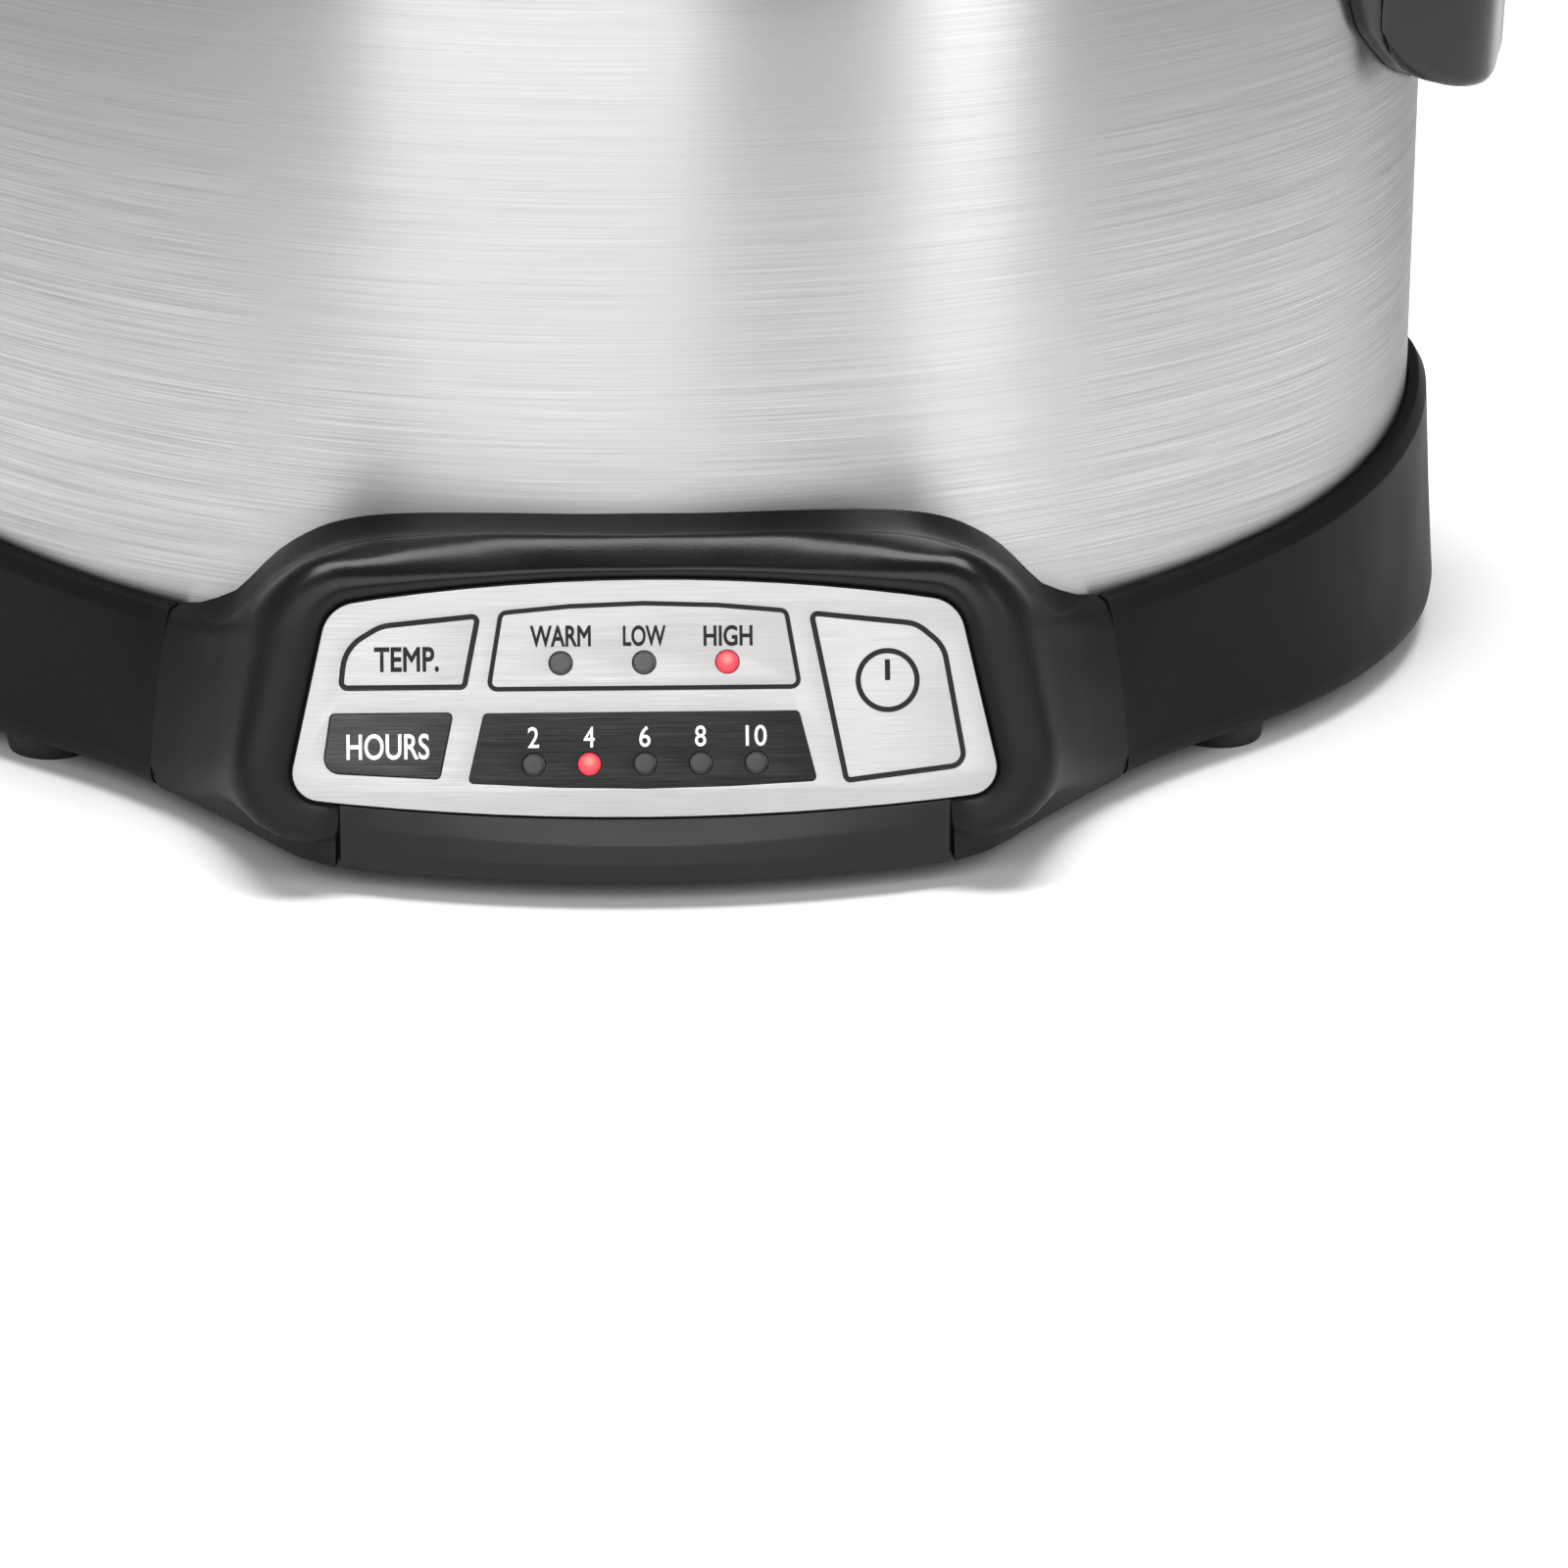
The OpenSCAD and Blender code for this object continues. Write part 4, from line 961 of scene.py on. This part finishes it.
def make_lenses():
    dome = fillet([(0, 0.02), (1.5, -0.02), (1.9, -0.16), (1.9, -8.6), (0, -8.6)], [0, 1, 0.15, 0.1, 0], 4)
    places = [(i * HEAT_PITCH, UPPER_ROW, "lens_dark", "warm low high".split()[i + 1]) for i in (-1, 0, 1)]
    places += [(i * HOUR_PITCH, LOWER_ROW, "lens_hidden", "hour_%d" % (6 + 2 * i)) for i in range(-2, 3)]
    for u, v, material, label in places:
        lit = label in ("high", "hour_4")
        mesh = plan_uvs(revolve("lens", dome, 40))
        finish_object("lens_" + label, mesh, "lens_lit" if lit else material, "base",
                      ["lit_lenses" if lit else "dark_lenses"],
                      PANEL_MATRIX @ Matrix.Translation((u * MM, v * MM, 0)))


def legend(name, words, box, material, body, lift=0.0, weight=0.014):
    """Plain functional wording fitted to a box (u0, v0, u1, v1) on the panel."""
    curve = bpy.data.curves.new(name, "FONT")
    curve.body = words
    curve.extrude = 0.01
    curve.bevel_depth = weight
    curve.bevel_resolution = 1
    mesh = mesh_of(name, curve)
    xyz = np.array([v.co[:] for v in mesh.vertices])
    low, high = xyz.min(0), xyz.max(0)
    u0, v0, u1, v1 = box
    scale = ((u1 - u0) / (high[0] - low[0]), (v1 - v0) / (high[1] - low[1]), 0.05 / (high[2] - low[2]))
    mesh.transform(Matrix.Diagonal((*scale, 1)) @ Matrix.Translation((-low[0], -low[1], -low[2])))
    mesh.transform(Matrix.Translation((u0, v0, lift - 0.015)))
    flat_uvs(mesh)
    finish_object(name, mesh, material, body, (), PANEL_MATRIX, 40)


def make_legends():
    legend("legend_temp", "TEMP.", (-43.8, 23.9, -33.3, 28.0), "ink_black", "temp_key", 0.1, 0.024)
    legend("legend_hours", "HOURS", (-48.4, 9.7, -35.0, 13.9), "ink_white", "hours_key", 0.1, 0.014)
    for words, box in (("WARM", (-18.5, 27.8, -8.6, 31.3)), ("LOW", (-3.4, 27.8, 3.6, 31.2)),
                       ("HIGH", (9.7, 27.7, 17.7, 31.1))):
        legend("legend_" + words.lower(), words, box, "ink_black", "base", 0.0, 0.026)
    for i in range(-2, 3):
        digits = str(6 + 2 * i)
        half = 0.9 if len(digits) == 1 else 1.7
        legend("legend_" + digits, digits, (i * HOUR_PITCH - half, 11.4, i * HOUR_PITCH + half, 14.8), "ink_white",
               "base", 0.0, 0.008)
    ring_u, ring_v, ring_r, stroke = 39.6, 21.9, 4.8, 0.43
    loops = [circle(ring_u, ring_v, ring_r + stroke, 72), circle(ring_u, ring_v, ring_r - stroke, 72)[::-1]]
    panel_piece("power_ring", loops, 0.08, 0.13, "ink_black", "power_key", ())
    bar = fillet([(ring_u - stroke, ring_v), (ring_u + stroke, ring_v), (ring_u + stroke, ring_v + 3.4),
                  (ring_u - stroke, ring_v + 3.4)], 0.12, 2)
    panel_piece("power_bar", [bar], 0.08, 0.13, "ink_black", "power_key", ())


# ---- handles

def softened(knots, values, reach=1.2):
    """A curve through knots with its corners rounded off, as a function."""
    fine = np.arange(0, knots[-1] + 6, 0.1)
    raw = np.interp(fine, knots, values)
    kernel = np.hanning(int(reach * 20) + 2)[1:-1]
    kernel /= kernel.sum()
    pad = len(kernel) // 2
    padded = np.concatenate([raw[pad:0:-1], raw, np.full(pad, raw[-1])])
    smooth = np.convolve(padded, kernel, "valid")[:len(fine)]
    return lambda at: float(np.interp(at, fine, smooth))


def make_handle(side):
    """A flange on the wrap and a hollow scoop grip outside it; side is 1 for right and -1 for left.
    Both are swept by the angle from the handle's middle."""
    word = "right" if side > 0 else "left"
    low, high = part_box("handle_grip_right")
    out = high.x / MM - HALF_LENGTH
    bottom, top = low.z / MM, high.z / MM
    flange_end, grip_end = 36.3, 32.4
    flange_drop = softened([0, 16, 24, 27.8, 31.5, 35, flange_end], [104.5, 104.5, 109, 112, 116.4, 121.5, 127])
    flange_top = softened([0, 30, 35, flange_end], [142, 142, 140.4, 136], 2.0)
    grip_reach = softened([0, 8, 15, 19.5, 22.0, 24.3, 31.6, grip_end],
                          [out, out - 0.2, out - 0.1, out + 0.8, out + 0.9, out - 1.0, 3.4, 2.8], 2.0)
    grip_drop = softened([0, 22, 24.5, 27.5, 30, grip_end], [bottom, bottom, bottom + 0.6, 110, 114, 121], 1.6)
    grip_top = softened([0, 27, 30, grip_end], [top, top, top - 2, top - 6], 2.0)

    def base_profile(phi):
        at = abs(phi - 90)
        return fillet([(0.12, flange_drop(at)), (2.6, flange_drop(at)), (2.6, flange_top(at)),
                       (0.12, flange_top(at))], [0.1, 1.3, 1.3, 0.1], 4)

    def grip_profile(phi):
        at = abs(phi - 90)
        reach = min(grip_reach(at), (high.x / MM - END_SHIFT) / math.cos(math.radians(at)) - END_R)
        drop, crown = grip_drop(at), grip_top(at)
        wall = max(2.75, reach - 4.6)
        roof = crown - 5
        return fillet([(2.62, crown), (reach - 0.5, crown), (reach, (crown + drop) / 2), (reach - 0.5, drop),
                       (wall, drop), (wall, roof), (2.62, roof)], [0.1, 4.5, 30, 2.8, 1.2, 2.0, 0.1], 5)

    flip = Matrix.Diagonal((side, 1, 1, 1))
    for name, profile, half, node, slot in (
            ("handle_flange_" + word, base_profile, flange_end, "handle_base_" + word, "handle_base_plastic"),
            ("handle_scoop_" + word, grip_profile, grip_end, "handle_grip_" + word, "handle_grip_plastic")):
        mesh = sweep(name, profile, 90 - half, 90 + half, 0.6)
        if side < 0:
            mesh.transform(flip)
            mesh.flip_normals()
        finish_object(name, mesh, slot, "base", [node], sharp=40)


# ---- crock and lid

def make_crock():
    low, high = heights("crock")
    seat = high - 3
    rim = heights("heating_well")[1]
    profile = fillet([(-1, rim), (-1, high), (-4.2, high), (-5, seat), (-19.5, seat), (-21, seat - 1.5),
                      (-23, 52), (-27, 44), (-36, low + 6.5), (-60, low + 6.5), (-60, low), (-34, low),
                      (-24, low + 4), (-17.5, 50), (-15, rim - 3), (-15, rim)],
                     [0.8, 1.5, 1.4, 1.0, 1.6, 1.6, 30, 14, 14, 0, 0, 5, 9, 20, 3, 1.2], 5)
    wall = sweep("crock_wall", profile, step=1.5)
    floor = oval_disc("crock_floor", -59.5, low, low + 6.5)
    mesh = join_meshes("crock_bowl", [wall, floor])
    finish_object("crock_bowl", mesh, "crock_glaze", "crock", ["crock"], sharp=45)


def oval_disc(name, d, low, high):
    rows = [[(*oval(phi, d), z) for z in (low, high)] for phi in ring_angles(180.0, 540.0, 3.0)[:-1]]
    return clean(grid_mesh(name, rows, close_rows=True, close_columns=False), fill=True)


def make_lid():
    low, high = heights("lid_glass")
    thick, flat, edge = 4.0, 92.0, 12.0
    rise = high - low - thick
    radius = ((flat - edge) ** 2 + rise**2) / (2 * rise)
    steps = 26

    def height(d):
        return rise - radius + math.sqrt(radius**2 - (flat - d) ** 2)

    run = [edge + (flat - edge) * i / steps for i in range(steps + 1)]
    outer_z, inner_z = low + thick - 0.1, low + 0.05
    edge_ring = fillet([(-8, inner_z), (-6.7, inner_z), (-6.7, outer_z), (-8.5, outer_z)], 0.5, 3)[1:-1]
    rows = []
    for phi in ring_angles(180.0, 540.0, 1.5)[:-1]:
        tip = Vector((*oval(phi, -flat), 0))
        middle = Vector((0, BODY_Y, 0))
        crown = [middle.lerp(tip, 1 - k / 6) for k in range(1, 7)]
        rows.append([(*oval(phi, d), z) for d, z in edge_ring]
                    + [(*oval(phi, -d), outer_z + height(d)) for d in run]
                    + [(p.x, p.y, outer_z + rise) for p in crown]
                    + [(p.x, p.y, inner_z + rise) for p in reversed(crown)]
                    + [(*oval(phi, -d), inner_z + height(d)) for d in reversed(run)])
    mesh = clean(grid_mesh("lid_dome", rows, close_rows=True), 10 * WELD)
    finish_object("lid_dome", mesh, "lid_glass", "lid", ["lid_glass"], sharp=60)

    seat, top = heights("lid_rim_band")
    profile = fillet([(-5.9, seat), (-5.9, top), (-10, top), (-10, top - 0.6), (-6.5, top - 0.6),
                      (-6.5, seat + 0.6), (-10, seat + 0.6), (-10, seat)],
                     [1.1, 1.1, 0.25, 0.25, 0.6, 0.6, 0.25, 0.25], 4)
    finish_object("lid_rolled_band", sweep("lid_rolled_band", profile), "rim_steel", "lid", ["lid_rim_band"])


def make_knob():
    low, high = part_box("lid_knob")
    middle = Vector(((low.x + high.x) / 2, (low.y + high.y) / 2, low.z))
    grip = (high.x - low.x) / 2 / MM
    tall = (high.z - low.z) / MM
    outline = fillet([(2.5, 13), (2.5, 0), (14.2, 0), (14.5, 1.6), (10.6, 6), (9.8, 10), (12, 14.4),
                      (grip - 1.5, 16.6), (grip, 19.5), (grip - 0.8, 23.2), (grip - 5, 26), (grip - 11, 27.2),
                      (grip - 16, 27.7), (0, tall)],
                     [0.2, 0.5, 0.8, 0.8, 5, 8, 5, 2.5, 3, 3.5, 8, 20, 0, 0], 6)
    outline = [(0, 13)] + outline
    mesh = revolve("lid_knob_grip", outline, 120)
    finish_object("lid_knob_grip", mesh, "knob_phenolic", "lid", ["lid_knob"],
                  matrix=Matrix.Translation(middle), sharp=50)


make_camera()
make_studio()
dress_cad_nodes()
make_wrap()
make_skirt()
make_feet()
make_gland()
make_housing()
make_trim()
make_panel()
make_lenses()
make_legends()
make_handle(1)
make_handle(-1)
make_crock()
make_lid()
make_knob()
